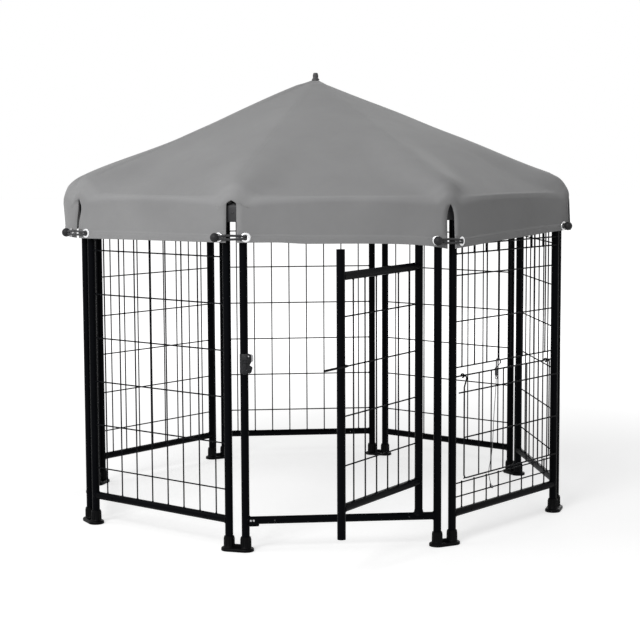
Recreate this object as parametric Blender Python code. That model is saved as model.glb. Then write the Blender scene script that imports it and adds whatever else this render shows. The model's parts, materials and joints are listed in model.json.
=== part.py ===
# Octagonal pet shed: eight wire mesh panels on twin-socket feet, under a fabric canopy on eight poles.
# Units are metres, +Z is up and the front door faces -Y. Run with: blender --background --python part.py
from math import atan, cos, pi, radians, sin, tan

import bmesh
import bpy
from mathutils import Matrix, Vector

# Driving dimensions

PANELS = 8
TUBE_SIDES = 12
post_diameter = 0.022
tube_wall = 0.0015
rail_plug = 0.0015
rail_diameter = 0.0215
post_spacing = 0.528
twin_spacing = 0.048
rail_height = 0.085
rail_rise = 0.801
post_stub = 0.028
drain_hole = 0.0045
drain_inset = 0.068

wire = 0.003
frame_wire = 0.0036
seat_gap = 0.0003
mesh_side_margin = 0.04875
mesh_verticals = 8
mesh_end_margin = 0.083
mesh_levels = 6

foot_length = 0.093
foot_width = 0.046
foot_sole = 0.010
foot_flare = 0.003
cup_wall = 0.0028
cup_top = 0.040
socket_clearance = 0.0003
# Room that a socket's flat sides need beyond its round clearance.
facet_allowance = 0.0006
foot_web_height = 0.018
foot_web_width = 0.006

connector_rise = 0.032
connector_lift = 0.0008

pole_diameter = 0.016
pole_bend_radius = 0.060
pole_foot_depth = 0.016
hub_radius = 0.046
hub_height = 0.030
spigot_diameter = 0.009
spigot_length = 0.018
stud_diameter = 0.008
stud_height = 0.0138
finial_height = 0.023
finial_diameter = 0.0155
finial_base_diameter = 0.024

canopy_slope = radians(22.9)
canopy_overhang = 0.0199
canopy_eave_rise = 0.0489
canopy_skirt = 0.1489
canopy_thickness = 0.002
eave_radius = 0.055
apex_hole_clearance = 0.002
slit_width = 0.025
slit_below_roll = 0.0083

grommet_from_corner = 0.042
grommet_above_hem = 0.014
bungee_ball_diameter = 0.023
bungee_cord = 0.004

door_open_angle = radians(53.0)
door_hinge_inset = 0.052
door_free_gap = 0.0606
door_foot_room = 0.019
door_head_room = 0.044
door_rail_inset = 0.079
door_top_rail_inset = 0.068
door_verticals = 6
door_levels = 4
door_mesh_shift = 0.002
hinge_pin_clearance = 0.0005
hinge_pin_reach = 0.030
hinge_collar_base = 0.036
hinge_neck_step = 0.001
hinge_running_gap = 0.0004
striker_diameter = 0.006
striker_reach = 0.104
striker_above_rail = 0.463
striker_weld = 0.0005
closed_clearance = 0.0006

latch_below_striker = 0.061
latch_width = 0.030
latch_overhang = 0.0085
latch_wrap = 0.004
latch_striker_gap = 0.0015
latch_pin_diameter = 0.004
latch_boss_wall = 0.0018
latch_pin_below_striker = 0.026
latch_cheek = 0.003
latch_gate_width = 0.010
latch_gate_thickness = 0.003
latch_gate_overlap = 0.0075
latch_lip_depth = 0.004
latch_lip_height = 0.003

hatch_pivot_wire = 0.0044
hatch_lower_first = 0.044
hatch_lower_step = 0.038
hatch_foot_gap = 0.011
hatch_first_level = 0.117
hatch_pivot_above = 0.043
hatch_upper_above = 0.025
hatch_upper_count = 3
hatch_stop_clearance = 0.0007
hatch_stop_overlap = 0.009
hatch_eye_gap = 0.0005
hatch_end_swell = 0.0002

hook_wire = 0.004
hook_place = -0.0365
hook_mouth = 0.010
hook_shank = 0.019
hook_barrel = 0.008
hook_barrel_length = 0.024
hook_eye_length = 0.010
hook_eye_width = 0.009
hook_eye_thickness = 0.003
hook_eye_hole = 0.0044
hook_play = 0.0009
hook_tip_drop = 0.006
tether_diameter = 0.002
tether_point_pitch = 0.0055
crimp_place = -0.066
crimp_diameter = 0.0055
crimp_length = 0.011
crimp_eye_wall = 0.0025
crimp_eye_width = 0.0024

BLACK_STEEL = (0.010, 0.010, 0.012)
BLACK_PLASTIC = (0.012, 0.012, 0.013)
CANOPY_GREY = (0.27, 0.27, 0.275)
ZINC = (0.42, 0.42, 0.43)
ELASTIC = (0.016, 0.016, 0.017)
CABLE_GREY = (0.45, 0.45, 0.45)

# Derived places

turn = 2.0 * pi / PANELS
half_turn = turn / 2.0
tube_phase = pi / TUBE_SIDES
corner_setback = twin_spacing / (2.0 * cos(half_turn))
side_length = post_spacing + 2.0 * corner_setback
apothem = side_length / (2.0 * tan(half_turn))
top_rail_height = rail_height + rail_rise
post_top = top_rail_height + post_stub
connector_top = post_top + connector_rise
mesh_pitch_across = (post_spacing - 2.0 * mesh_side_margin) / (mesh_verticals - 1)
mesh_pitch_up = (rail_rise - 2.0 * mesh_end_margin) / (mesh_levels - 1)
twin_radius = apothem / cos(half_turn) - corner_setback * sin(half_turn)
post_radius = post_diameter / 2.0
rail_radius = rail_diameter / 2.0
cup_radius = post_radius + socket_clearance + cup_wall
post_bottom = foot_sole + seat_gap
door_hinge_offset = post_spacing / 2.0 - door_hinge_inset
door_width = post_spacing - door_hinge_inset - door_free_gap
door_bottom = rail_height + door_foot_room
door_top = top_rail_height - door_head_room
striker_height = rail_height + striker_above_rail
striker_tip = door_width + striker_reach
striker_offset = post_radius + striker_diameter / 2.0 - striker_weld
# The striker rests against the left post's outer face, which keeps the closed door from swinging inward.
closed_angle = atan((striker_weld + closed_clearance) / (door_hinge_offset + post_spacing / 2.0))
hinge_pin_radius = post_radius - tube_wall - hinge_pin_clearance
canopy_apothem = apothem + canopy_overhang
canopy_eave = connector_top + canopy_eave_rise
canopy_apex = canopy_eave + tan(canopy_slope) * canopy_apothem
canopy_hem_height = canopy_eave - canopy_skirt
canopy_roll_drop = eave_radius * tan((pi / 2.0 - canopy_slope) / 2.0)
slit_tip_height = canopy_eave - canopy_roll_drop - slit_below_roll
hatch_lower_levels = [rail_height + hatch_lower_first + hatch_lower_step * i for i in range(2)]
hatch_bottom = hatch_lower_levels[-1] + hatch_foot_gap
hatch_levels = [hatch_bottom + hatch_first_level + mesh_pitch_up * i for i in range(2)]
hatch_pivot_height = hatch_levels[-1] + hatch_pivot_above
hatch_upper_levels = [hatch_pivot_height + hatch_upper_above + mesh_pitch_up * i for i in range(hatch_upper_count)]
ball_reach = canopy_apothem + bungee_ball_diameter + seat_gap
striker_side = (striker_offset + striker_diameter / 2.0) * cos(door_open_angle)
front_reach = apothem + striker_tip * sin(door_open_angle) + striker_side
back_reach = ball_reach
centre_y = (front_reach - back_reach) / 2.0

SIDE_NAMES = ["front", "front_right", "right", "back_right", "back", "back_left", "left", "front_left"]


# Scene and object helpers

def clear_scene():
    for item in list(bpy.data.objects):
        bpy.data.objects.remove(item, do_unlink=True)


def make_material(name, colour, roughness, metallic=0.0):
    material = bpy.data.materials.new(name)
    material.use_nodes = True
    shader = material.node_tree.nodes["Principled BSDF"]
    shader.inputs["Base Color"].default_value = (*colour, 1.0)
    shader.inputs["Roughness"].default_value = roughness
    shader.inputs["Metallic"].default_value = metallic
    material.diffuse_color = (*colour, 1.0)
    return material


def bmesh_object(name, bm, material=None):
    bmesh.ops.recalc_face_normals(bm, faces=bm.faces[:])
    mesh = bpy.data.meshes.new(name)
    bm.to_mesh(mesh)
    bm.free()
    item = bpy.data.objects.new(name, mesh)
    bpy.context.scene.collection.objects.link(item)
    if material is not None:
        mesh.materials.append(material)
    return item


def place(item, location, rotation_z=0.0):
    item.location = (location[0], location[1] + centre_y, location[2])
    item.rotation_euler = (0.0, 0.0, rotation_z)
    return item


def combine(target, tool, operation):
    """Runs one exact Boolean on target's mesh and removes the tool object."""
    modifier = target.modifiers.new(operation.lower(), "BOOLEAN")
    modifier.operation = operation
    modifier.solver = "EXACT"
    modifier.object = tool
    bpy.context.view_layer.update()
    graph = bpy.context.evaluated_depsgraph_get()
    result = bpy.data.meshes.new_from_object(target.evaluated_get(graph))
    target.modifiers.remove(modifier)
    old = target.data
    target.data = result
    bpy.data.meshes.remove(old)
    bpy.data.objects.remove(tool, do_unlink=True)
    return target


def finish(item, material):
    """Leaves an object with this one material."""
    item.data.materials.clear()
    item.data.materials.append(material)
    return item


# Shape helpers, each adding a closed shape to a bmesh

def add_prism(bm, outline, low, high, matrix=None, top_outline=None):
    """A prism between two Z levels; top_outline gives it another outline at the top."""
    upper = top_outline or outline
    bottom = [bm.verts.new((x, y, low)) for x, y in outline]
    top = [bm.verts.new((x, y, high)) for x, y in upper]
    count = len(outline)
    bm.faces.new(list(reversed(bottom)))
    bm.faces.new(top)
    for i in range(count):
        j = (i + 1) % count
        bm.faces.new((bottom[i], bottom[j], top[j], top[i]))
    if matrix is not None:
        bmesh.ops.transform(bm, matrix=matrix, verts=bottom + top)
    return bm


def circle(radius, sides, phase=0.0, centre=(0.0, 0.0)):
    angles = [phase + 2.0 * pi * i / sides for i in range(sides)]
    return [(centre[0] + radius * cos(a), centre[1] + radius * sin(a)) for a in angles]


def box_outline(low_x, high_x, low_y, high_y):
    return [(low_x, low_y), (high_x, low_y), (high_x, high_y), (low_x, high_y)]


def add_box(bm, low, high):
    return add_prism(bm, box_outline(low[0], high[0], low[1], high[1]), low[2], high[2])


def along_x(x, y, z):
    """Matrix that turns +Z to +X and moves to a point."""
    return Matrix.Translation((x, y, z)) @ Matrix.Rotation(pi / 2.0, 4, "Y")


def along_y(x, y, z):
    """Matrix that turns +Z to +Y and moves to a point."""
    return Matrix.Translation((x, y, z)) @ Matrix.Rotation(-pi / 2.0, 4, "X")


def sweep(bm, path, radius, sides, up):
    """A round bar along a path of points, capped at both ends."""
    rings = []
    for i, point in enumerate(path):
        ahead = path[min(i + 1, len(path) - 1)] - point
        behind = point - path[max(i - 1, 0)]
        direction = (ahead.normalized() if ahead.length else Vector()) + (
            behind.normalized() if behind.length else Vector()
        )
        direction.normalize()
        side = direction.cross(up).normalized()
        lift = side.cross(direction)
        stretch = 1.0
        if 0 < i < len(path) - 1:
            stretch = 1.0 / max(0.5, direction.dot(ahead.normalized()))
        ring = []
        for k in range(sides):
            angle = 2.0 * pi * (k + 0.5) / sides
            ring.append(bm.verts.new(point + side * radius * cos(angle) + lift * radius * stretch * sin(angle)))
        rings.append(ring)
    for lower, upper in zip(rings, rings[1:]):
        for k in range(sides):
            j = (k + 1) % sides
            bm.faces.new((lower[k], lower[j], upper[j], upper[k]))
    bm.faces.new(list(reversed(rings[0])))
    bm.faces.new(rings[-1])
    return bm


def add_revolved(bm, profile, sides, matrix=None):
    """Turns a profile of (radius, z) points about Z; the end points may lie on the axis."""
    rings = []
    for radius, z in profile:
        if radius < 1e-7:
            rings.append([bm.verts.new((0.0, 0.0, z))])
        else:
            rings.append([bm.verts.new((x, y, z)) for x, y in circle(radius, sides)])
    for lower, upper in zip(rings, rings[1:]):
        for k in range(sides):
            j = (k + 1) % sides
            a = [lower[0]] if len(lower) == 1 else [lower[k], lower[j]]
            b = [upper[0]] if len(upper) == 1 else [upper[j], upper[k]]
            bm.faces.new(a + b)
    if len(rings[0]) > 1:
        bm.faces.new(list(reversed(rings[0])))
    if len(rings[-1]) > 1:
        bm.faces.new(rings[-1])
    if matrix is not None:
        bmesh.ops.transform(bm, matrix=matrix, verts=[v for ring in rings for v in ring])
    return bm


def add_lattice(bm, verticals, levels, ends_x, ends_z, thickness):
    """A flat welded grid in the XZ plane: square wires at the given X and Z places, cut at ends_x and ends_z."""
    half = thickness / 2.0
    columns = sorted([ends_x[0], ends_x[1]] + [x + side for x in verticals for side in (-half, half)])
    rows = sorted([ends_z[0], ends_z[1]] + [z + side for z in levels for side in (-half, half)])
    columns = [c for i, c in enumerate(columns) if i == 0 or c - columns[i - 1] > 1e-7]
    rows = [r for i, r in enumerate(rows) if i == 0 or r - rows[i - 1] > 1e-7]

    def solid(i, j):
        if not (0 <= i < len(columns) - 1 and 0 <= j < len(rows) - 1):
            return False
        x = (columns[i] + columns[i + 1]) / 2.0
        z = (rows[j] + rows[j + 1]) / 2.0
        return any(abs(x - v) < half for v in verticals) or any(abs(z - v) < half for v in levels)

    made = {}

    def corner(i, j, y):
        key = (i, j, y)
        if key not in made:
            made[key] = bm.verts.new((columns[i], y, rows[j]))
        return made[key]

    for i in range(len(columns) - 1):
        for j in range(len(rows) - 1):
            if not solid(i, j):
                continue
            for y in (-half, half):
                bm.faces.new([corner(i, j, y), corner(i + 1, j, y), corner(i + 1, j + 1, y), corner(i, j + 1, y)])
            edges = [
                ((i - 1, j), (i, j), (i, j + 1)),
                ((i + 1, j), (i + 1, j), (i + 1, j + 1)),
                ((i, j - 1), (i, j), (i + 1, j)),
                ((i, j + 1), (i, j + 1), (i + 1, j + 1)),
            ]
            for neighbour, start, end in edges:
                if not solid(*neighbour):
                    bm.faces.new([corner(*start, -half), corner(*end, -half), corner(*end, half), corner(*start, half)])
    return bm


def spread(count, pitch):
    return [(i - (count - 1) / 2.0) * pitch for i in range(count)]


# Panels: each is built as the front panel, with X along it and -Y outward, then turned to its side

def panel_place(item, side, height=0.0):
    angle = turn * side
    spot = Vector((0.0, -apothem, height))
    spot.rotate(Matrix.Rotation(angle, 3, "Z"))
    return place(item, spot, angle)


def panel_frame(name, material, extras=None):
    inner = post_radius - tube_wall
    posts = bmesh.new()
    for x in (-post_spacing / 2.0, post_spacing / 2.0):
        add_prism(posts, circle(post_radius, TUBE_SIDES, centre=(x, 0.0)), post_bottom, post_top)
    frame = bmesh_object(name, posts)
    rails = bmesh.new()
    for z in (rail_height, top_rail_height):
        outline = circle(rail_radius, TUBE_SIDES, phase=tube_phase)
        add_prism(rails, outline, 0.0, post_spacing, along_x(-post_spacing / 2.0, 0.0, z))
    combine(frame, bmesh_object("rails", rails), "UNION")
    if extras is not None:
        combine(frame, bmesh_object("extras", extras), "UNION")
    bores = bmesh.new()
    for x in (-post_spacing / 2.0, post_spacing / 2.0):
        add_prism(bores, circle(inner, TUBE_SIDES, centre=(x, 0.0)), post_bottom - 0.01, post_top + 0.01)
    combine(frame, bmesh_object("bores", bores), "DIFFERENCE")
    rail_bore = bmesh.new()
    rail_inner = rail_radius - tube_wall
    outline = circle(rail_inner, TUBE_SIDES, phase=tube_phase)
    closed = post_spacing / 2.0 - post_radius
    bored = closed - rail_plug
    add_prism(rail_bore, outline, 0.0, 2.0 * bored, along_x(-bored, 0.0, rail_height))
    combine(frame, bmesh_object("rail_bore", rail_bore), "DIFFERENCE")
    drain = bmesh.new()
    hole = circle(drain_hole / 2.0, 6)
    for x in (-closed + drain_inset, closed - drain_inset):
        add_prism(drain, hole, 0.0, post_diameter * 2.0, along_y(x, -post_diameter, rail_height))
    combine(frame, bmesh_object("drain", drain), "DIFFERENCE")
    finish(frame, material)
    return frame


mesh_half_width = post_spacing / 2.0 - post_radius - seat_gap
mesh_low = rail_height + rail_radius + seat_gap
mesh_high = top_rail_height - rail_radius - seat_gap


def full_mesh(name, material):
    levels = [rail_height + mesh_end_margin + mesh_pitch_up * i for i in range(mesh_levels)]
    bm = bmesh.new()
    columns = spread(mesh_verticals, mesh_pitch_across)
    add_lattice(bm, columns, levels, (-mesh_half_width, mesh_half_width), (mesh_low, mesh_high), wire)
    return bmesh_object(name, bm, material)


def hatch_upper_mesh(material):
    bm = bmesh.new()
    columns = spread(mesh_verticals, mesh_pitch_across)
    low = hatch_upper_levels[0] - wire / 2.0
    add_lattice(bm, columns, hatch_upper_levels, (-mesh_half_width, mesh_half_width), (low, mesh_high), wire)
    return bmesh_object("mesh_front_right_upper", bm, material)


def hatch_lower_mesh(material):
    bm = bmesh.new()
    columns = spread(mesh_verticals, mesh_pitch_across)
    high = hatch_lower_levels[-1] + wire / 2.0
    add_lattice(bm, columns, hatch_lower_levels, (-mesh_half_width, mesh_half_width), (mesh_low, high), wire)
    return bmesh_object("mesh_front_right_lower", bm, material)


def hatch_pivot_bar():
    """The wire between the posts that the feed hatch swings on."""
    bm = bmesh.new()
    outline = circle(hatch_pivot_wire / 2.0, 8)
    return add_prism(bm, outline, 0.0, post_spacing, along_x(-post_spacing / 2.0, 0.0, hatch_pivot_height))


def door_pivots():
    """Welded collars and pins on the front frame's rails, which the door's hinge post turns on."""
    bm = bmesh.new()
    neck = post_radius + hinge_neck_step
    lower_face = door_bottom - hinge_running_gap
    upper_face = door_top + hinge_running_gap
    pin = hinge_pin_radius
    lower = [
        (0.0, rail_height),
        (hinge_collar_base / 2.0, rail_height),
        (hinge_collar_base / 2.0, rail_height + rail_radius * 0.5),
        (neck, lower_face),
        (pin, lower_face),
        (pin, lower_face + hinge_pin_reach),
        (0.0, lower_face + hinge_pin_reach),
    ]
    upper = [
        (0.0, upper_face - hinge_pin_reach),
        (pin, upper_face - hinge_pin_reach),
        (pin, upper_face),
        (neck, upper_face),
        (neck, top_rail_height),
        (0.0, top_rail_height),
    ]
    spot = Matrix.Translation((door_hinge_offset, 0.0, 0.0))
    add_revolved(bm, lower, 12, spot)
    add_revolved(bm, upper, 12, spot)
    return bm


# Door leaf: built closed with its hinge at the origin, X from the hinge towards the latch side

def door_spot():
    return (door_hinge_offset, -apothem, 0.0)


door_turn = pi + door_open_angle


def door_frame(material):
    inner = post_radius - tube_wall
    low_rail = door_bottom + door_rail_inset
    high_rail = door_top - door_top_rail_inset
    posts = bmesh.new()
    for x in (0.0, door_width):
        add_prism(posts, circle(post_radius, TUBE_SIDES, centre=(x, 0.0)), door_bottom, door_top)
    frame = bmesh_object("door_frame", posts)
    rails = bmesh.new()
    for z in (low_rail, high_rail):
        outline = circle(rail_radius, TUBE_SIDES, phase=tube_phase)
        add_prism(rails, outline, 0.0, door_width, along_x(0.0, 0.0, z))
    combine(frame, bmesh_object("door_rails", rails), "UNION")
    striker = bmesh.new()
    outline = circle(striker_diameter / 2.0, 8)
    start = door_width - post_radius
    add_prism(striker, outline, 0.0, striker_tip - start, along_x(start, striker_offset, striker_height))
    combine(frame, bmesh_object("striker", striker), "UNION")
    bores = bmesh.new()
    for x in (0.0, door_width):
        add_prism(bores, circle(inner, TUBE_SIDES, centre=(x, 0.0)), door_bottom - 0.01, door_top + 0.01)
    combine(frame, bmesh_object("door_bores", bores), "DIFFERENCE")
    rail_bore = bmesh.new()
    outline = circle(rail_radius - tube_wall, TUBE_SIDES, phase=tube_phase)
    start = post_radius + rail_plug
    for z in (low_rail, high_rail):
        add_prism(rail_bore, outline, 0.0, door_width - 2.0 * start, along_x(start, 0.0, z))
    combine(frame, bmesh_object("door_rail_bore", rail_bore), "DIFFERENCE")
    drain = bmesh.new()
    hole_x = door_width - post_radius - drain_inset
    for z in (low_rail, high_rail):
        add_prism(drain, circle(drain_hole / 2.0, 6), 0.0, post_diameter * 2.0, along_y(hole_x, -post_diameter, z))
    combine(frame, bmesh_object("door_drain", drain), "DIFFERENCE")
    finish(frame, material)
    return place(frame, door_spot(), door_turn)


def door_mesh(material):
    low = door_bottom + door_rail_inset + rail_radius + seat_gap
    high = door_top - door_top_rail_inset - rail_radius - seat_gap
    edge = post_radius + seat_gap
    pitch = door_width / (door_verticals + 1)
    columns = [pitch * (i + 1) for i in range(door_verticals)]
    first = (low + high - mesh_pitch_up * (door_levels - 1)) / 2.0 + door_mesh_shift
    levels = [first + mesh_pitch_up * i for i in range(door_levels)]
    bm = bmesh.new()
    add_lattice(bm, columns, levels, (edge, door_width - edge), (low, high), wire)
    return place(bmesh_object("door_mesh", bm, material), door_spot(), door_turn)


# Door latch: a saddle on the front frame's left post, below the striker, with a gate that swings up before it

latch_post_x = -post_spacing / 2.0
latch_right = latch_post_x + post_radius + latch_overhang
latch_left = latch_right - latch_width
latch_top = striker_height - striker_diameter / 2.0 - latch_striker_gap
latch_bottom = striker_height - latch_below_striker
latch_pin_z = striker_height - latch_pin_below_striker
striker_front = (door_hinge_offset - latch_left) * tan(closed_angle) + striker_offset + striker_diameter / 2.0
gate_centre_y = -striker_front - seat_gap - latch_gate_thickness / 2.0
gate_reach = latch_pin_below_striker + latch_gate_overlap
gate_x = latch_post_x - latch_gate_width / 2.0
gate_hub_radius = latch_pin_diameter / 2.0 + latch_boss_wall
latch_face = gate_centre_y + gate_hub_radius + seat_gap


def latch_keeper(material):
    block = bmesh.new()
    add_box(block, (latch_left, latch_face, latch_bottom), (latch_right, -latch_wrap, latch_top))
    keeper = bmesh_object("latch_keeper", block)
    cheeks = bmesh.new()
    for low_x in (gate_x - seat_gap - latch_cheek, gate_x + latch_gate_width + seat_gap):
        low = (low_x, gate_centre_y - gate_hub_radius, latch_pin_z - gate_hub_radius)
        add_box(cheeks, low, (low_x + latch_cheek, latch_face + 0.002, latch_pin_z + gate_hub_radius))
    combine(keeper, bmesh_object("cheeks", cheeks), "UNION")
    pin = bmesh.new()
    pin_start = gate_x - seat_gap - latch_cheek * 0.5
    pin_length = latch_gate_width + 2.0 * seat_gap + latch_cheek
    outline = circle(latch_pin_diameter / 2.0, 8)
    add_prism(pin, outline, 0.0, pin_length, along_x(pin_start, gate_centre_y, latch_pin_z))
    combine(keeper, bmesh_object("latch_pin", pin), "UNION")
    saddle = bmesh.new()
    outline = circle(post_radius + seat_gap, 16, centre=(latch_post_x, 0.0))
    add_prism(saddle, outline, latch_bottom - 0.01, latch_top + 0.01)
    combine(keeper, bmesh_object("saddle", saddle), "DIFFERENCE")
    finish(keeper, material)
    return panel_place(keeper, 0)


def latch_gate(material):
    """Built about its pin's axis, hanging down from it."""
    half = latch_gate_thickness / 2.0
    body = bmesh.new()
    add_box(body, (gate_x, -half, -gate_reach), (gate_x + latch_gate_width, half, 0.0))
    gate = bmesh_object("latch_gate", body)
    boss = bmesh.new()
    add_prism(boss, circle(gate_hub_radius, 10), 0.0, latch_gate_width, along_x(gate_x, 0.0, 0.0))
    combine(gate, bmesh_object("gate_boss", boss), "UNION")
    lip = bmesh.new()
    lip_low = (gate_x, -half - latch_lip_depth, -gate_reach)
    add_box(lip, lip_low, (gate_x + latch_gate_width, half, -gate_reach + latch_lip_height))
    combine(gate, bmesh_object("gate_lip", lip), "UNION")
    bore = bmesh.new()
    outline = circle(latch_pin_diameter / 2.0 + socket_clearance, 8)
    add_prism(bore, outline, -0.01, latch_gate_width + 0.01, along_x(gate_x, 0.0, 0.0))
    combine(gate, bmesh_object("gate_bore", bore), "DIFFERENCE")
    finish(gate, material)
    spot = (0.0, -apothem + gate_centre_y, latch_pin_z)
    return place(gate, spot)


# Feed hatch: built hanging from the pivot wire, with its origin on the wire's axis

hatch_offset = post_radius + frame_wire / 2.0 + hatch_stop_clearance


def feed_hatch(material):
    half = frame_wire / 2.0
    bottom = hatch_bottom - hatch_pivot_height
    top = hatch_levels[-1] - hatch_pivot_height
    columns = spread(mesh_verticals, mesh_pitch_across)
    side = columns[-1]
    levels = [bottom + half] + [z - hatch_pivot_height for z in hatch_levels]
    bm = bmesh.new()
    edge = post_spacing / 2.0 - post_radius + hatch_stop_overlap
    add_lattice(bm, columns, levels, (-side - half, edge), (bottom, half), frame_wire)
    bmesh.ops.translate(bm, verts=bm.verts[:], vec=(0.0, -hatch_offset, 0.0))
    hatch = bmesh_object("feed_hatch", bm)
    reach = bmesh.new()
    thick = half + hatch_end_swell
    low = (-mesh_half_width, -hatch_offset - thick, top - thick)
    add_box(reach, low, (-side, -hatch_offset + thick, top + thick))
    combine(hatch, bmesh_object("top_wire_end", reach), "UNION")
    eye_inner = hatch_pivot_wire / 2.0 + hatch_eye_gap
    eye_outer = eye_inner + frame_wire
    thin = half - hatch_end_swell
    for x in (-side, side):
        link = bmesh.new()
        add_box(link, (x - thin, -hatch_offset, -thin), (x + thin, -eye_inner - thin, thin))
        combine(hatch, bmesh_object("link", link), "UNION")
        eye = bmesh.new()
        add_prism(eye, circle(eye_outer, 10), 0.0, frame_wire, along_x(x - half, 0.0, 0.0))
        combine(hatch, bmesh_object("eye", eye), "UNION")
        hole = bmesh.new()
        add_prism(hole, circle(eye_inner, 8), -0.01, frame_wire + 0.01, along_x(x - half, 0.0, 0.0))
        combine(hatch, bmesh_object("eye_hole", hole), "DIFFERENCE")
    finish(hatch, material)
    return panel_place(hatch, 1, hatch_pivot_height)


# Corners: feet, top connectors, poles and bungees, built on +X and turned to each corner

def corner_place(item, corner, radius=0.0, height=0.0):
    angle = -pi / 2.0 - half_turn + turn * corner
    return place(item, (radius * cos(angle), radius * sin(angle), height), angle)


def oval(length, width, points):
    """A rounded-end bar outline, long along Y."""
    end = width / 2.0
    straight = length / 2.0 - end
    outline = []
    for i in range(points):
        angle = pi * i / (points - 1)
        outline.append((end * cos(angle), straight + end * sin(angle)))
    for i in range(points):
        angle = pi + pi * i / (points - 1)
        outline.append((end * cos(angle), -straight + end * sin(angle)))
    return outline


def foot(name, corner, material):
    sole = bmesh.new()
    outer = oval(foot_length, foot_width, 5)
    rim = oval(foot_length - 2.0 * foot_flare, foot_width - 2.0 * foot_flare, 5)
    add_prism(sole, outer, 0.0, foot_sole, None, rim)
    piece = bmesh_object(name, sole)
    web = bmesh.new()
    half_web = foot_web_width / 2.0
    low = (-half_web, -twin_spacing / 2.0, foot_sole * 0.5)
    add_box(web, low, (half_web, twin_spacing / 2.0, foot_web_height))
    combine(piece, bmesh_object("web", web), "UNION")
    cups = bmesh.new()
    for y in (-twin_spacing / 2.0, twin_spacing / 2.0):
        add_prism(cups, circle(cup_radius, 10, centre=(0.0, y)), foot_sole * 0.5, cup_top)
    combine(piece, bmesh_object("cups", cups), "UNION")
    bores = bmesh.new()
    for y in (-twin_spacing / 2.0, twin_spacing / 2.0):
        bore = circle(post_radius + socket_clearance + facet_allowance, 10, centre=(0.0, y))
        add_prism(bores, bore, foot_sole, cup_top + 0.01)
    combine(piece, bmesh_object("cup_bores", bores), "DIFFERENCE")
    finish(piece, material)
    return corner_place(piece, corner, twin_radius)


connector_low = top_rail_height + rail_radius + connector_lift


def top_connector(name, corner, material):
    """A block with a socket for each post below and one for the roof pole above."""
    block = bmesh.new()
    outline = oval(twin_spacing + 2.0 * cup_radius, 2.0 * cup_radius, 6)
    add_prism(block, outline, connector_low, connector_top)
    piece = bmesh_object(name, block)
    bores = bmesh.new()
    for y in (-twin_spacing / 2.0, twin_spacing / 2.0):
        bore = circle(post_radius + socket_clearance + facet_allowance, 10, centre=(0.0, y))
        add_prism(bores, bore, connector_low - 0.01, post_top + seat_gap)
    outline = circle(pole_diameter / 2.0 + socket_clearance + facet_allowance, 8)
    add_prism(bores, outline, connector_top - pole_foot_depth, connector_top + 0.01)
    combine(piece, bmesh_object("connector_bores", bores), "DIFFERENCE")
    finish(piece, material)
    return corner_place(piece, corner, twin_radius)


hip_slope = atan(tan(canopy_slope) * cos(half_turn))
pole_drop = (canopy_thickness / cos(canopy_slope)) * cos(hip_slope) + seat_gap + pole_diameter / 2.0


def pole_line(radius):
    """Height of a pole's centre line under the canopy's hip."""
    return canopy_apex - tan(hip_slope) * radius - pole_drop / cos(hip_slope)


def hub_face():
    """Radius and height where a pole's axis meets the hub."""
    return hub_radius, pole_line(hub_radius)


def roof_pole(name, corner, material):
    knee = Vector((twin_radius, 0.0, pole_line(twin_radius)))
    up_slope = Vector((-cos(hip_slope), 0.0, sin(hip_slope)))
    bend = pi / 2.0 - hip_slope
    tangent = pole_bend_radius * tan(bend / 2.0)
    start = knee - Vector((0.0, 0.0, tangent))
    centre = start + Vector((-pole_bend_radius, 0.0, 0.0))
    foot_end = Vector((twin_radius, 0.0, connector_top - pole_foot_depth + seat_gap))
    path = [foot_end]
    for i in range(5):
        angle = bend * i / 4.0
        path.append(centre + Vector((pole_bend_radius * cos(angle), 0.0, pole_bend_radius * sin(angle))))
    near, near_z = hub_face()
    path.append(Vector((near, 0.0, near_z)) + up_slope * pole_diameter)
    bm = bmesh.new()
    sweep(bm, path, pole_diameter / 2.0, 8, Vector((0.0, 1.0, 0.0)))
    # The upper end is cut upright so that it stands flat against the hub.
    bmesh.ops.bisect_plane(
        bm,
        geom=bm.verts[:] + bm.edges[:] + bm.faces[:],
        plane_co=(near + seat_gap, 0.0, 0.0),
        plane_no=(-1.0, 0.0, 0.0),
        clear_outer=True,
    )
    open_edges = [edge for edge in bm.edges if edge.is_boundary]
    bmesh.ops.contextual_create(bm, geom=open_edges)
    pole = bmesh_object(name, bm, material)
    bore = bmesh.new()
    matrix = pole_axis_matrix(near, near_z, -spigot_length - seat_gap * 2.0)
    add_prism(bore, circle(spigot_diameter / 2.0 + socket_clearance, 6), 0.0, spigot_length * 2.0, matrix)
    combine(pole, bmesh_object("pole_bore", bore), "DIFFERENCE")
    finish(pole, material)
    return corner_place(pole, corner)


def pole_axis_matrix(near, near_z, start):
    """Turns +Z to run up a pole's axis, starting at a distance from the hub's face."""
    up_slope = Vector((-cos(hip_slope), 0.0, sin(hip_slope)))
    across = Vector((0.0, 1.0, 0.0))
    rise = across.cross(up_slope)
    spot = Vector((near, 0.0, near_z)) + up_slope * start
    matrix = Matrix((across, rise, up_slope)).transposed().to_4x4()
    if matrix.determinant() < 0.0:
        matrix = Matrix((-across, rise, up_slope)).transposed().to_4x4()
    matrix.translation = spot
    return matrix


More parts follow.
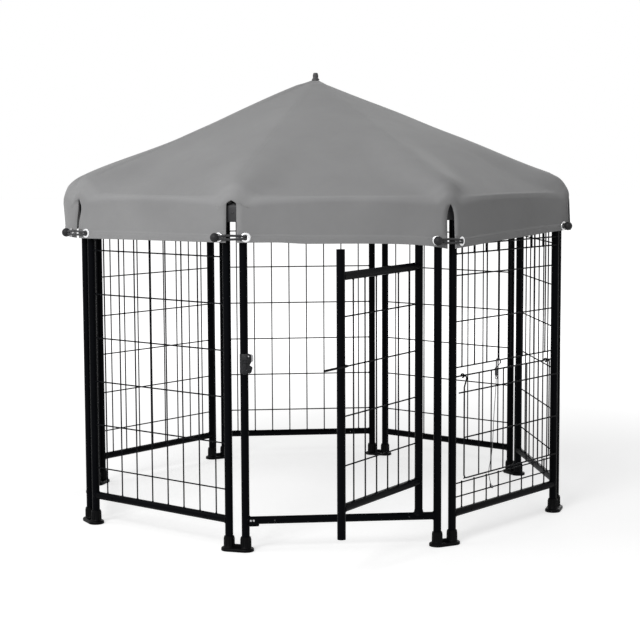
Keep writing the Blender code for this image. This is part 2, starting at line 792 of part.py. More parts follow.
def roof_hub(material):
    """An eight-sided block under the canopy's peak with a spigot for each pole and the finial's stud."""
    near, near_z = hub_face()
    lining = canopy_apex - canopy_thickness / cos(canopy_slope) - seat_gap
    low = near_z - hub_height * 0.5
    stud = stud_diameter / 2.0
    rings = []
    bm = bmesh.new()
    for distance, sloped in ((near, False), (near, True), (stud * 1.6, True)):
        ring = []
        for i in range(2 * PANELS):
            at_hip = i % 2 == 1
            radius = distance if at_hip else distance / cos(half_turn)
            slope = tan(hip_slope) if at_hip else tan(canopy_slope)
            z = lining - slope * radius if sloped else low
            angle = half_turn * i
            ring.append(bm.verts.new((radius * cos(angle), radius * sin(angle), z)))
        rings.append(ring)
    for lower, upper in zip(rings, rings[1:]):
        for k in range(2 * PANELS):
            j = (k + 1) % (2 * PANELS)
            bm.faces.new((lower[k], lower[j], upper[j], upper[k]))
    bm.faces.new(list(reversed(rings[0])))
    bm.faces.new(rings[-1])
    hub = bmesh_object("roof_hub", bm)
    spigots = bmesh.new()
    for k in range(PANELS):
        spin = Matrix.Rotation(half_turn + turn * k, 4, "Z")
        matrix = spin @ pole_axis_matrix(near, near_z, -spigot_length)
        add_prism(spigots, circle(spigot_diameter / 2.0, 6), 0.0, spigot_length + 0.006, matrix)
    combine(hub, bmesh_object("spigots", spigots), "UNION")
    pin = bmesh.new()
    add_prism(pin, circle(stud, 10), canopy_apex - hub_height, canopy_apex + stud_height)
    combine(hub, bmesh_object("stud", pin), "UNION")
    finish(hub, material)
    return place(hub, (0.0, 0.0, 0.0))


def finial(material):
    bore = stud_diameter / 2.0 + seat_gap
    base = finial_base_diameter / 2.0
    neck = finial_diameter / 2.0
    low = canopy_apex + seat_gap
    depth = canopy_apex + stud_height + seat_gap
    shape = [(base, 0.0), (base * 0.92, 0.17), (neck, 0.35), (neck, 0.70), (neck * 0.7, 0.91), (0.0, 1.0)]
    outer = [(radius, low + finial_height * share) for radius, share in shape]
    bm = bmesh.new()
    add_revolved(bm, outer, 14)
    knob = bmesh_object("finial", bm)
    hole = bmesh.new()
    add_prism(hole, circle(bore, 10), low - stud_height, depth)
    combine(knob, bmesh_object("finial_bore", hole), "DIFFERENCE")
    finish(knob, material)
    return place(knob, (0.0, 0.0, 0.0))


# Canopy: one closed shell, an eight-sided roof with rolled eaves, a skirt and a slit at each corner

def canopy_profile(inset):
    """(apothem, height) points from the apex hole to the hem, moved in by inset."""
    wall = canopy_apothem - inset
    apex = canopy_apex - inset / cos(canopy_slope)
    radius = eave_radius - inset
    turn_angle = pi / 2.0 - canopy_slope
    crease_z = apex - tan(canopy_slope) * wall
    tangent = radius * tan(turn_angle / 2.0)
    hole = stud_diameter / 2.0 + apex_hole_clearance
    points = [(hole, apex - tan(canopy_slope) * hole)]
    points.append((wall * 0.5, apex - tan(canopy_slope) * wall * 0.5))
    centre = (wall - radius, crease_z - tangent)
    for i in range(5):
        angle = turn_angle * (1.0 - i / 4.0)
        points.append((centre[0] + radius * cos(angle), centre[1] + radius * sin(angle)))
    points.append((wall, slit_tip_height))
    points.append((wall, canopy_hem_height))
    return points


def canopy(material):
    bm = bmesh.new()
    shells = []
    for inset in (0.0, canopy_thickness):
        rings = []
        for wall, z in canopy_profile(inset):
            radius = wall / cos(half_turn)
            rings.append([bm.verts.new((x, y, z)) for x, y in circle(radius, PANELS, phase=half_turn)])
        shells.append(rings)
    for rings in shells:
        for lower, upper in zip(rings, rings[1:]):
            for k in range(PANELS):
                j = (k + 1) % PANELS
                bm.faces.new((lower[k], lower[j], upper[j], upper[k]))
    for end in (0, -1):
        for k in range(PANELS):
            j = (k + 1) % PANELS
            bm.faces.new((shells[0][end][k], shells[0][end][j], shells[1][end][j], shells[1][end][k]))
    cover = bmesh_object("canopy", bm)
    slits = bmesh.new()
    corner_radius = canopy_apothem / cos(half_turn)
    half = slit_width / 2.0
    shoulder = canopy_hem_height + (slit_tip_height - canopy_hem_height) * 0.55
    outline = [
        (-half, canopy_hem_height - 0.01),
        (half, canopy_hem_height - 0.01),
        (half, canopy_hem_height),
        (half * 0.85, shoulder),
        (0.0, slit_tip_height - 0.001),
        (-half * 0.85, shoulder),
        (-half, canopy_hem_height),
    ]
    depth = 0.03
    for k in range(PANELS):
        angle = half_turn + turn * k
        upright = Matrix(((0, 0, 1, corner_radius - depth), (1, 0, 0, 0), (0, 1, 0, 0), (0, 0, 0, 1)))
        add_prism(slits, outline, 0.0, 2.0 * depth, Matrix.Rotation(angle, 4, "Z") @ upright)
    combine(cover, bmesh_object("slits", slits), "DIFFERENCE")
    finish(cover, material)
    return place(cover, (0.0, 0.0, 0.0))


# Bungee ties: a ball and a flat loop of elastic that draws the canopy's corner together

def bungee(name, corner, material):
    """Local +X is outward at the corner and Y runs along the chord between the two grommets."""
    spot = canopy_apothem / cos(half_turn)
    along = grommet_from_corner
    # Each grommet lies on a skirt face, which falls away from the corner's tangent by half a turn.
    reach_y = along * cos(half_turn)
    reach_x = -along * sin(half_turn)
    standoff = seat_gap + bungee_cord / 2.0
    lift = Vector((standoff, 0.0, 0.0))
    ball = bmesh.new()
    radius = bungee_ball_diameter / 2.0
    normal = Vector((cos(half_turn), -sin(half_turn), 0.0))
    centre = Vector((reach_x, -reach_y, 0.0)) + normal * (radius + seat_gap)
    profile = [(radius * sin(pi * i / 5.0), -radius * cos(pi * i / 5.0)) for i in range(6)]
    add_revolved(ball, profile, 9, Matrix.Translation(centre))
    tie = bmesh_object(name, ball)
    strand = bmesh.new()
    half = bungee_cord / 2.0
    outward = Vector((cos(half_turn), sin(half_turn), 0.0))
    far = Vector((reach_x, reach_y, 0.0)) + outward * (half + seat_gap)
    middle = Vector((standoff + half, 0.0, 0.0)) + lift
    path = [centre, middle, far]
    sweep(strand, path, half, 6, Vector((0.0, 0.0, 1.0)))
    combine(tie, bmesh_object("strand", strand), "UNION")
    finish(tie, material)
    return corner_place(tie, corner, spot, canopy_hem_height + grommet_above_hem)


# Snap hook parked on the upper mesh's last wire, and the tether from it to the lower mesh

hook_inside = hatch_pivot_wire / 2.0 + hook_wire + hook_play
hook_bow_radius = (hook_mouth + hook_wire) / 2.0
hook_rest = wire / 2.0 + hook_wire / 2.0 + hook_play


def hook_place_at(item):
    angle = turn
    spot = Vector((hook_place, -apothem, hatch_upper_levels[0]))
    spot.rotate(Matrix.Rotation(angle, 3, "Z"))
    return place(item, spot, angle)


def snap_hook(material):
    """Built about the mesh wire that it hangs on; local +Y is into the shed."""
    shank_y = hook_inside
    bow_y = shank_y - hook_bow_radius
    bow_z = hook_rest - hook_bow_radius
    barrel_top = bow_z - hook_shank
    path = [Vector((0.0, shank_y, barrel_top - 0.002)), Vector((0.0, shank_y, bow_z))]
    for i in range(1, 7):
        angle = pi * i / 6.0
        path.append(Vector((0.0, bow_y + hook_bow_radius * cos(angle), bow_z + hook_bow_radius * sin(angle))))
    tip_y = bow_y - hook_bow_radius
    path.append(Vector((0.0, tip_y, bow_z - hook_tip_drop)))
    bm = bmesh.new()
    sweep(bm, path, hook_wire / 2.0, 8, Vector((1.0, 0.0, 0.0)))
    hook = bmesh_object("snap_hook", bm)
    barrel = bmesh.new()
    wide = hook_barrel / 2.0
    low = barrel_top - hook_barrel_length
    profile = [(wide * 0.6, low), (wide, low + 0.003), (wide, barrel_top - 0.003), (wide * 0.6, barrel_top)]
    add_revolved(barrel, profile, 10, Matrix.Translation((0.0, shank_y, 0.0)))
    combine(hook, bmesh_object("barrel", barrel), "UNION")
    swivel = bmesh.new()
    eye_low = low - hook_eye_length
    half = hook_eye_width / 2.0
    thin = hook_eye_thickness / 2.0
    add_box(swivel, (-thin, shank_y - half, eye_low), (thin, shank_y + half, low + thin))
    combine(hook, bmesh_object("swivel", swivel), "UNION")
    eye = bmesh.new()
    middle = along_x(0.0, shank_y, eye_low + hook_eye_length / 2.0)
    add_prism(eye, circle(hook_eye_hole / 2.0, 8), -hook_eye_width, hook_eye_width, middle)
    combine(hook, bmesh_object("swivel_eye", eye), "DIFFERENCE")
    finish(hook, material)
    return hook_place_at(hook)


def tether_points():
    """Places that the tether passes, in the front-right panel's own frame, from the hook to the crimp."""
    shank_y = hook_inside
    top = hatch_upper_levels[0] + hook_eye_drop()
    crimp_y = crimp_inside()
    low = hatch_lower_levels[0] + crimp_length * 0.8 + seat_gap
    drop = top - low
    return [
        Vector((hook_place, shank_y, top)),
        Vector((hook_place - 0.0015, shank_y + 0.001, top - drop * 0.12)),
        Vector((hook_place - 0.0065, shank_y + 0.003, top - drop * 0.36)),
        Vector((hook_place - 0.0110, shank_y + 0.003, top - drop * 0.58)),
        Vector((hook_place - 0.0200, shank_y + 0.002, top - drop * 0.74)),
        Vector((crimp_place - 0.0065, crimp_y + 0.002, top - drop * 0.88)),
        Vector((crimp_place, crimp_y, low)),
    ]


def hook_eye_drop():
    """Height of the swivel's lower edge, less the seat gap, from the wire that the hook hangs on."""
    return hook_rest - hook_bow_radius - hook_shank - hook_barrel_length - hook_eye_length - seat_gap


def crimp_inside():
    return wire / 2.0 + seat_gap * 2.0 + crimp_diameter / 2.0


def smooth_path(points, pitch):
    """Evenly spaced points on a Catmull-Rom curve through the given points."""
    dense = [points[0]]
    ends = [points[0] * 2.0 - points[1]] + points + [points[-1] * 2.0 - points[-2]]
    for i in range(len(points) - 1):
        a, b, c, d = ends[i : i + 4]
        for k in range(1, 21):
            t = k / 20.0
            dense.append(
                0.5 * (b * 2.0 + (c - a) * t + (a * 2.0 - b * 5.0 + c * 4.0 - d) * t * t)
                + 0.5 * (b * 3.0 - a - c * 3.0 + d) * t * t * t
            )
    lengths = [0.0]
    for first, second in zip(dense, dense[1:]):
        lengths.append(lengths[-1] + (second - first).length)
    count = int(round(lengths[-1] / pitch))
    path = []
    index = 0
    for i in range(count + 1):
        target = lengths[-1] * i / count
        while index < len(lengths) - 2 and lengths[index + 1] < target:
            index += 1
        share = (target - lengths[index]) / (lengths[index + 1] - lengths[index])
        path.append(dense[index].lerp(dense[index + 1], share))
    return path


def tether(material):
    curve = bpy.data.curves.new("tether", "CURVE")
    curve.dimensions = "3D"
    curve.bevel_depth = tether_diameter / 2.0
    curve.bevel_resolution = 2
    curve.use_fill_caps = True
    path = smooth_path(tether_points(), tether_point_pitch)
    spline = curve.splines.new("POLY")
    spline.points.add(len(path) - 1)
    for point, place_at in zip(spline.points, path):
        point.co = (*place_at, 1.0)
    curve.materials.append(material)
    item = bpy.data.objects.new("tether", curve)
    bpy.context.scene.collection.objects.link(item)
    return panel_place(item, 1)


def tether_crimp(material):
    """A flat eye round the lower mesh's wire, with the sleeve that grips the tether on its inner side."""
    inner = wire * 0.75 + seat_gap
    outer = inner + crimp_eye_wall
    half = crimp_eye_width / 2.0
    ring = bmesh.new()
    add_prism(ring, circle(outer, 10), -half, half, along_x(0.0, 0.0, 0.0))
    eye = bmesh_object("tether_crimp", ring)
    sleeve = bmesh.new()
    add_prism(sleeve, circle(crimp_diameter / 2.0, 8, centre=(0.0, crimp_inside())), -crimp_length * 0.2, crimp_length * 0.8)
    combine(eye, bmesh_object("sleeve", sleeve), "UNION")
    hole = bmesh.new()
    add_prism(hole, circle(inner, 8), -half * 4.0, half * 4.0, along_x(0.0, 0.0, 0.0))
    combine(eye, bmesh_object("crimp_hole", hole), "DIFFERENCE")
    finish(eye, material)
    angle = turn
    spot = Vector((crimp_place, -apothem, hatch_lower_levels[0]))
    spot.rotate(Matrix.Rotation(angle, 3, "Z"))
    return place(eye, spot, angle)


def build():
    clear_scene()
    steel = make_material("powder_coated_steel", BLACK_STEEL, 0.42, 0.0)
    plastic = make_material("black_plastic", BLACK_PLASTIC, 0.48)
    fabric = make_material("canopy_fabric", CANOPY_GREY, 0.85)
    zinc = make_material("zinc_plate", ZINC, 0.35, 0.9)
    cable = make_material("coated_cable", CABLE_GREY, 0.4)
    elastic = make_material("elastic_cord", ELASTIC, 0.6)
    for side, side_name in enumerate(SIDE_NAMES):
        extras = None
        if side == 0:
            extras = door_pivots()
        if side == 1:
            extras = hatch_pivot_bar()
        panel_place(panel_frame("frame_" + side_name, steel, extras), side)
        if side > 1:
            panel_place(full_mesh("mesh_" + side_name, steel), side)
    panel_place(hatch_upper_mesh(steel), 1)
    panel_place(hatch_lower_mesh(steel), 1)
    door_frame(steel)
    door_mesh(steel)
    latch_keeper(steel)
    latch_gate(zinc)
    feed_hatch(steel)
    for corner in range(PANELS):
        number = str(corner + 1)
        foot("foot_" + number, corner, plastic)
        top_connector("top_connector_" + number, corner, plastic)
        roof_pole("roof_pole_" + number, corner, steel)
        bungee("bungee_" + number, corner, elastic)
    roof_hub(plastic)
    finial(plastic)
    canopy(fabric)
    snap_hook(zinc)
    tether(cable)
    tether_crimp(zinc)


build()
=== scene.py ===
import json
from math import atan, cos, exp, pi, radians, sin, sqrt, tan

import bmesh
import bpy
from mathutils import Matrix, Vector, noise


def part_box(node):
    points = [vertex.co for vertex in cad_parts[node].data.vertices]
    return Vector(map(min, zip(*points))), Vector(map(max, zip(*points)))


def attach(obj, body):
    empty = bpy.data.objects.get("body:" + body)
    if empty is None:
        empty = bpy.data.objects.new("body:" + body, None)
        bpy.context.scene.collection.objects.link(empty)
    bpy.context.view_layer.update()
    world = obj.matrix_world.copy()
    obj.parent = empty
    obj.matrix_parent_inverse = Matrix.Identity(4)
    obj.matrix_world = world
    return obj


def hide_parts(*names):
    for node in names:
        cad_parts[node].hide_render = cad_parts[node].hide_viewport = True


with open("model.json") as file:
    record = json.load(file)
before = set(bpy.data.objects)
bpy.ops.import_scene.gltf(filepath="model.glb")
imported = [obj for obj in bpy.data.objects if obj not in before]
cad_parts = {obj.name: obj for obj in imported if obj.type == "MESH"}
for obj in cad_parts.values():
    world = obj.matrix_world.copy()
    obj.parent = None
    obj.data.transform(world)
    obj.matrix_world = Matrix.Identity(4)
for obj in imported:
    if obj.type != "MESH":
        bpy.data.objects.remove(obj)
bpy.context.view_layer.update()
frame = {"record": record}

# Sizes in metres, nearly all of them shared with the solids

PANELS = 8
turn = 2.0 * pi / PANELS
half_turn = turn / 2.0

front_low, front_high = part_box("frame_front")
canopy_low, canopy_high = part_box("canopy")
post_diameter = 0.022
post_radius = post_diameter / 2.0
tube_wall = 0.0015
rail_diameter = 0.0215
rail_radius = rail_diameter / 2.0
post_spacing = front_high[0] - front_low[0] - post_diameter
twin_spacing = 0.048
centre = Vector((0.0, (canopy_low[1] + canopy_high[1]) / 2.0, 0.0))
corner_setback = twin_spacing / (2.0 * cos(half_turn))
apothem = (post_spacing + 2.0 * corner_setback) / (2.0 * tan(half_turn))
twin_radius = apothem / cos(half_turn) - corner_setback * sin(half_turn)
post_bottom = front_low[2]
post_top = front_high[2]
rail_height = 0.085
top_rail_height = 0.886
rail_half = post_spacing / 2.0
drain_hole = 0.0045
drain_inset = 0.068

wire = 0.003
coated_wire = 0.0040
frame_wire = 0.0036
coated_frame_wire = 0.0043
mesh_pitch_across = 0.0615
mesh_pitch_up = 0.127
mesh_verticals = 8
first_wire_height = 0.168
mesh_levels = 6

seat_gap = 0.0003
cup_wall = 0.0028
sole_length = 0.093
sole_width = 0.046
cup_radius = post_radius + seat_gap + cup_wall
cup_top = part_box("foot_1")[1][2]

pole_diameter = 0.016
pole_bend_radius = 0.060
hub_radius = 0.046

canopy_slope = radians(22.9)
canopy_apex = canopy_high[2] + tan(canopy_slope) * 0.006
canopy_apothem = (canopy_high[0] - canopy_low[0]) / 2.0
canopy_thickness = 0.002
hem_height = canopy_low[2]
eave_radius = 0.055
grommet_from_corner = 0.042
grommet_above_hem = 0.014
ball_radius = 0.0125

joints = {joint["name"]: joint for joint in frame["record"]["behaviour"]["joints"]}
door_hinge = Vector(joints["door_hinge"]["pos_m"])
door_low, door_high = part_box("door_frame")
door_open_angle = radians(53.0)
door_width = 0.4154
door_bottom = door_low[2]
door_top = door_high[2]
door_rail_inset = 0.079
door_top_rail_inset = 0.068
door_verticals = 6
door_first_wire = 0.290
door_levels = 4
striker_diameter = 0.006
striker_reach = 0.104
striker_height = 0.548
striker_offset = post_radius + striker_diameter / 2.0 - 0.0005

hatch_pivot_height = 0.465
hatch_pivot_wire = 0.0044
hatch_upper_levels = (0.490, 0.617, 0.744)
hatch_lower_levels = (0.129, 0.167)
strip_levels = (0.8045, 0.829)
strip_first_column = -0.2265
strip_pitch = 0.0593
hatch_bottom = 0.178
hatch_levels = (0.295, 0.422)
hatch_offset = post_radius + frame_wire / 2.0 + 0.0007
hatch_overlap = 0.009

hook_place = -0.0365
hook_wire = 0.004
hook_mouth = 0.010
hook_play = 0.0009
hook_shank = 0.019
hook_barrel = 0.008
hook_barrel_length = 0.024
hook_eye_length = 0.010
hook_eye_radius = 0.0034
hook_gate_radius = 0.0011
tether_diameter = 0.002
tether_point_pitch = 0.0055
crimp_place = -0.066
crimp_diameter = 0.0055
crimp_length = 0.011

RIGHT, BACK, UP = (Vector(axis) for axis in ((1.0, 0.0, 0.0), (0.0, 1.0, 0.0), (0.0, 0.0, 1.0)))
ALONG_X = Matrix.Rotation(pi / 2.0, 4, "Y")
ALONG_Y = Matrix.Rotation(-pi / 2.0, 4, "X")
FACING_OUT = Matrix.Rotation(pi / 2.0, 4, "X")

hook_inside = hatch_pivot_wire / 2.0 + hook_wire + hook_play
hook_bow_radius = (hook_mouth + hook_wire) / 2.0
hook_rest = wire / 2.0 + hook_wire / 2.0 + hook_play


# Places: a panel's own frame has X along it and -Y outward, a corner's has +X outward

def panel_frame(side, height=0.0):
    spin = Matrix.Translation(centre) @ Matrix.Rotation(turn * side, 4, "Z")
    return spin @ Matrix.Translation((0.0, -apothem, height))


def corner_frame(corner, radius=0.0, height=0.0):
    angle = -pi / 2.0 - half_turn + turn * corner
    spin = Matrix.Translation(centre) @ Matrix.Rotation(angle, 4, "Z")
    return spin @ Matrix.Translation((radius, 0.0, height))


def leaf_frame():
    spot = Vector((door_hinge.x, door_hinge.y, 0.0))
    return Matrix.Translation(spot) @ Matrix.Rotation(pi + door_open_angle, 4, "Z")


# Camera, fitted to the photograph's posts, rails and wires

camera_data = bpy.data.cameras.new("camera")
camera_data.sensor_width = 36.0
camera_data.lens = 94.83
camera_data.clip_end = 60.0
camera = bpy.data.objects.new("camera", camera_data)
bpy.context.scene.collection.objects.link(camera)
camera_from_centre = Vector((-0.4986, -5.2099, 1.1003))
yaw = radians(5.5793)
pitch = radians(-5.9147)
roll = radians(-0.2596)
forward = Vector((sin(yaw) * cos(pitch), cos(yaw) * cos(pitch), sin(pitch)))
level = Vector((cos(yaw), -sin(yaw), 0.0))
side_axis = level * cos(roll) + level.cross(forward) * sin(roll)
view_turn = Matrix((side_axis, side_axis.cross(forward), -forward)).transposed().to_4x4()
camera.matrix_world = Matrix.Translation(centre + camera_from_centre) @ view_turn
bpy.context.scene.camera = camera


# Materials

def fill(tree, item, *values, **named):
    """Feeds a node's inputs, by position or by name: an output is linked, anything else is set."""
    for place, value in [*enumerate(values), *named.items()]:
        socket = item.inputs[place if isinstance(place, int) else place.replace("_", " ")]
        if isinstance(value, bpy.types.NodeSocket):
            tree.links.new(value, socket)
        else:
            socket.default_value = value
    return item


def node(tree, kind, *values, operation=None, **named):
    made = tree.nodes.new("ShaderNode" + kind)
    if operation:
        made.operation = operation
    return fill(tree, made, *values, **named)


def surface(name, roughness, gloss=0.5, metallic=0.0):
    material = bpy.data.materials.new(name)
    material.use_nodes = True
    tree = material.node_tree
    shader = tree.nodes["Principled BSDF"]
    fill(tree, shader, Roughness=roughness, Metallic=metallic, Specular_IOR_Level=gloss)
    return material, tree, shader


def texture_space(tree, output="Object"):
    return node(tree, "TexCoord").outputs[output]


def mottled(tree, shader, vector, dark, light, scale):
    """Base colour that wanders between two near colours."""
    cloud = node(tree, "TexNoise", Vector=vector, Scale=scale, Detail=4.0, Roughness=0.6)
    ramp = node(tree, "ValToRGB", Fac=cloud.outputs["Fac"])
    for element, position, colour in zip(ramp.color_ramp.elements, (0.3, 0.7), (dark, light)):
        element.position = position
        element.color = (*colour, 1.0)
    fill(tree, shader, Base_Color=ramp.outputs["Color"])
    return cloud.outputs["Fac"]


def grained(name, dark, light, roughness, grain, depth, metallic=0.0, gloss=0.5):
    """A finish with a slow change of colour, a fine grain and a roughness that follows the colour."""
    material, tree, shader = surface(name, roughness, gloss, metallic)
    space = texture_space(tree)
    cloud = mottled(tree, shader, space, dark, light, 9.0)
    fine = node(tree, "TexNoise", Vector=space, Scale=grain, Detail=3.0)
    bump = node(tree, "Bump", Strength=0.35, Distance=depth, Height=fine.outputs["Fac"])
    change = node(tree, "MapRange", Value=cloud, To_Min=roughness - 0.06, To_Max=roughness + 0.10)
    fill(tree, shader, Normal=bump.outputs["Normal"], Roughness=change.outputs["Result"])
    return material


def woven(name, dark, light, thread, cloud_scale):
    """Plain-woven polyester: threads both ways along the cloth's own map, a soft sheen and faint creases."""
    material, tree, shader = surface(name, 0.86, 0.25)
    cloth_map = texture_space(tree, "UV")
    space = texture_space(tree)
    mottled(tree, shader, space, dark, light, cloud_scale)
    heights = []
    for direction in ("X", "Y"):
        band = node(tree, "TexWave", Vector=cloth_map, Scale=pi / (10.0 * thread), Distortion=0.25, Detail=1.0)
        band.bands_direction = direction
        heights.append(band.outputs["Fac"])
    weave = node(tree, "Math", *heights, operation="MAXIMUM").outputs["Value"]
    crease = node(tree, "TexNoise", Vector=space, Scale=7.0, Detail=3.0, Distortion=0.8).outputs["Fac"]
    folds = node(tree, "Bump", Strength=0.22, Distance=0.012, Height=crease).outputs["Normal"]
    threads = node(tree, "Bump", Strength=0.30, Distance=thread * 0.35, Height=weave, Normal=folds)
    fill(tree, shader, Normal=threads.outputs["Normal"], Sheen_Weight=0.25, Sheen_Roughness=0.5)
    return material


powder_coat = grained(
    "powder_coat", (0.0009, 0.0011, 0.0018), (0.0020, 0.0023, 0.0034), 0.34, 900.0, 0.00025, gloss=0.03
)
wire_coat = grained(
    "wire_coat", (0.0016, 0.0018, 0.0026), (0.0030, 0.0033, 0.0046), 0.46, 900.0, 0.0002, gloss=0.04
)
moulded = grained(
    "moulded_plastic", (0.0014, 0.0014, 0.0017), (0.0026, 0.0026, 0.0030), 0.40, 1400.0, 0.0002, gloss=0.06
)
socket_plastic = grained(
    "socket_plastic", (0.022, 0.022, 0.024), (0.036, 0.036, 0.039), 0.45, 1400.0, 0.0002, gloss=0.3
)
knob_plastic = grained("knob_plastic", (0.040, 0.040, 0.042), (0.060, 0.060, 0.062), 0.40, 1400.0, 0.0002)
ball_plastic = grained(
    "ball_plastic", (0.014, 0.014, 0.015), (0.024, 0.024, 0.026), 0.50, 900.0, 0.0002, gloss=0.2
)
canopy_cloth = woven("canopy_cloth", (0.268, 0.268, 0.271), (0.300, 0.300, 0.303), 0.0009, 5.0)
thread_cloth = woven("sewing_thread", (0.30, 0.30, 0.303), (0.36, 0.36, 0.363), 0.0006, 40.0)
elastic = woven("elastic_braid", (0.030, 0.030, 0.032), (0.060, 0.060, 0.063), 0.0012, 60.0)
nickel = grained("nickel", (0.80, 0.80, 0.81), (0.90, 0.90, 0.91), 0.26, 500.0, 0.0001, 0.75)
zinc = grained("zinc", (0.06, 0.06, 0.064), (0.11, 0.11, 0.115), 0.34, 700.0, 0.0002, 0.9)
bright_zinc = grained("bright_zinc", (0.34, 0.34, 0.35), (0.48, 0.48, 0.49), 0.34, 700.0, 0.0002, 0.9)
dark_zinc = grained(
    "dark_zinc", (0.007, 0.0075, 0.009), (0.016, 0.0165, 0.019), 0.38, 700.0, 0.0002, gloss=0.22
)
cable_coat = grained("cable_coat", (0.10, 0.10, 0.105), (0.20, 0.20, 0.205), 0.30, 1200.0, 0.0003)


# Mesh helpers

sharp_edge = radians(35.0)


def mm(*points):
    """Points given in millimetres, in the scene's metres."""
    return [tuple(value / 1000.0 for value in point) for point in points]


def at(x, y, z):
    return Matrix.Translation((x, y, z))


def mesh_of(name, bm):
    mesh = bpy.data.meshes.new(name)
    bm.to_mesh(mesh)
    bm.free()
    return mesh


def new_piece(name, bm, material, matrix=None, replaced=(), body="kennel"):
    bmesh.ops.recalc_face_normals(bm, faces=bm.faces[:])
    mesh = mesh_of(name, bm)
    mesh.shade_smooth()
    mesh.set_sharp_from_angle(angle=sharp_edge)
    return dress(bpy.data.objects.new(name, mesh), material, matrix, replaced, body)


def dress(piece, material, matrix=None, replaced=(), body="kennel"):
    """Puts a piece in the scene on its body, in place of the nodes that it stands for."""
    bpy.context.scene.collection.objects.link(piece)
    piece.data.materials.append(material)
    if matrix is not None:
        piece.matrix_world = matrix
    bpy.context.view_layer.update()
    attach(piece, body)
    if replaced:
        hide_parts(*replaced)
    return piece


def bridge(bm, lower, upper):
    count = len(lower)
    for k in range(count):
        j = (k + 1) % count
        bm.faces.new((lower[k], lower[j], upper[j], upper[k]))


def skin(bm, rows, closed=False):
    """A surface through rows of points, joined end to end when closed and capped otherwise."""
    for lower, upper in zip(rows, rows[1:]):
        bridge(bm, lower, upper)
    if closed:
        bridge(bm, rows[-1], rows[0])
    else:
        bm.faces.new(list(reversed(rows[0])))
        bm.faces.new(rows[-1])


def place(bm, rows, matrix):
    if matrix is not None:
        bmesh.ops.transform(bm, matrix=matrix, verts=[v for row in rows for v in row])


def round_steps(count, phase=0.0):
    """Cosine and sine of evenly spaced angles all the way round."""
    angles = [2.0 * pi * (k + phase) / count for k in range(count)]
    return [(cos(angle), sin(angle)) for angle in angles]


def lathe(bm, profile, sides, matrix=None, closed=False):
    """Turns (radius, z) points about Z; a closed profile makes a ring, an open one is capped."""
    rings = []
    for radius, z in profile:
        wide = max(radius, 1e-5)
        rings.append([bm.verts.new((wide * x, wide * y, z)) for x, y in round_steps(sides)])
    skin(bm, rings, closed)
    place(bm, rings, matrix)


def sweep(bm, path, radius, sides=12, closed=False, ripple=0.0):
    """A round bar along a path, its rings turned as little as they can; radius is one or a list of them."""
    count = len(path)
    radii = radius if hasattr(radius, "__len__") else [radius] * count
    tangents = []
    for i in range(count):
        if closed:
            ahead, behind = path[(i + 1) % count], path[i - 1]
        else:
            ahead, behind = path[min(i + 1, count - 1)], path[max(i - 1, 0)]
        tangents.append((ahead - behind).normalized())
    first = UP if abs(tangents[0].z) < 0.9 else BACK
    across = (first - tangents[0] * first.dot(tangents[0])).normalized()
    rings = []
    for i, point in enumerate(path):
        across = (across - tangents[i] * across.dot(tangents[i])).normalized()
        lift = tangents[i].cross(across)
        size = radii[i] * (1.0 + ripple * (i % 2))
        rings.append([bm.verts.new(point + across * size * x + lift * size * y) for x, y in round_steps(sides)])
    skin(bm, rings, closed)


def straight(bm, start, end, radius, sides=12):
    sweep(bm, [Vector(start), (Vector(start) + Vector(end)) / 2.0, Vector(end)], radius, sides)


def arc(hub, radius, start, end, steps, first=BACK, second=UP):
    """Points on an arc in the plane of two axes."""
    angles = [start + (end - start) * i / steps for i in range(steps + 1)]
    return [hub + first * radius * cos(angle) + second * radius * sin(angle) for angle in angles]


def wire_ring(bm, hub, radius, thickness, steps, sides=10):
    """A closed ring of round wire that faces along X."""
    sweep(bm, arc(hub, radius, 0.0, 2.0 * pi, steps)[:-1], thickness, sides, closed=True)


def torus(bm, major, minor, matrix):
    lathe(bm, [(major + minor * x, minor * z) for x, z in round_steps(12)], 32, matrix, closed=True)


def blob(bm, spot, size):
    made = bmesh.ops.create_icosphere(bm, subdivisions=1, radius=1.0)
    matrix = Matrix.Translation(spot) @ Matrix.Diagonal((*size, 1.0))
    bmesh.ops.transform(bm, matrix=matrix, verts=made["verts"])


def loose(name, bm):
    bmesh.ops.recalc_face_normals(bm, faces=bm.faces[:])
    item = bpy.data.objects.new(name, mesh_of(name, bm))
    bpy.context.scene.collection.objects.link(item)
    return item


def carve(target, tool):
    """Cuts a loose tool out of a loose object and removes the tool."""
    modifier = target.modifiers.new("cut", "BOOLEAN")
    modifier.operation = "DIFFERENCE"
    modifier.solver = "EXACT"
    modifier.object = tool
    bpy.context.view_layer.update()
    result = bpy.data.meshes.new_from_object(target.evaluated_get(bpy.context.evaluated_depsgraph_get()))
    target.modifiers.remove(modifier)
    target.data = result
    bpy.data.objects.remove(tool, do_unlink=True)


def absorb(bm, item):
    """Adds a loose object's mesh to bm and removes the object."""
    bm.from_mesh(item.data)
    bpy.data.objects.remove(item, do_unlink=True)


def plate(bm, outline, thickness, matrix, bevel=0.0008):
    """A flat plate of this outline in XZ, its rim rounded over."""
    rows = []
    middle = sum((Vector(point) for point in outline), Vector((0.0, 0.0))) / len(outline)
    for y, inset in ((0.0, bevel), (bevel * 0.6, 0.0), (thickness - bevel * 0.6, 0.0), (thickness, bevel)):
        inward = [(middle - Vector(point)).normalized() * inset for point in outline]
        rows.append([bm.verts.new((x + step.x, y, z + step.y)) for (x, z), step in zip(outline, inward)])
    skin(bm, rows)
    place(bm, rows, matrix)


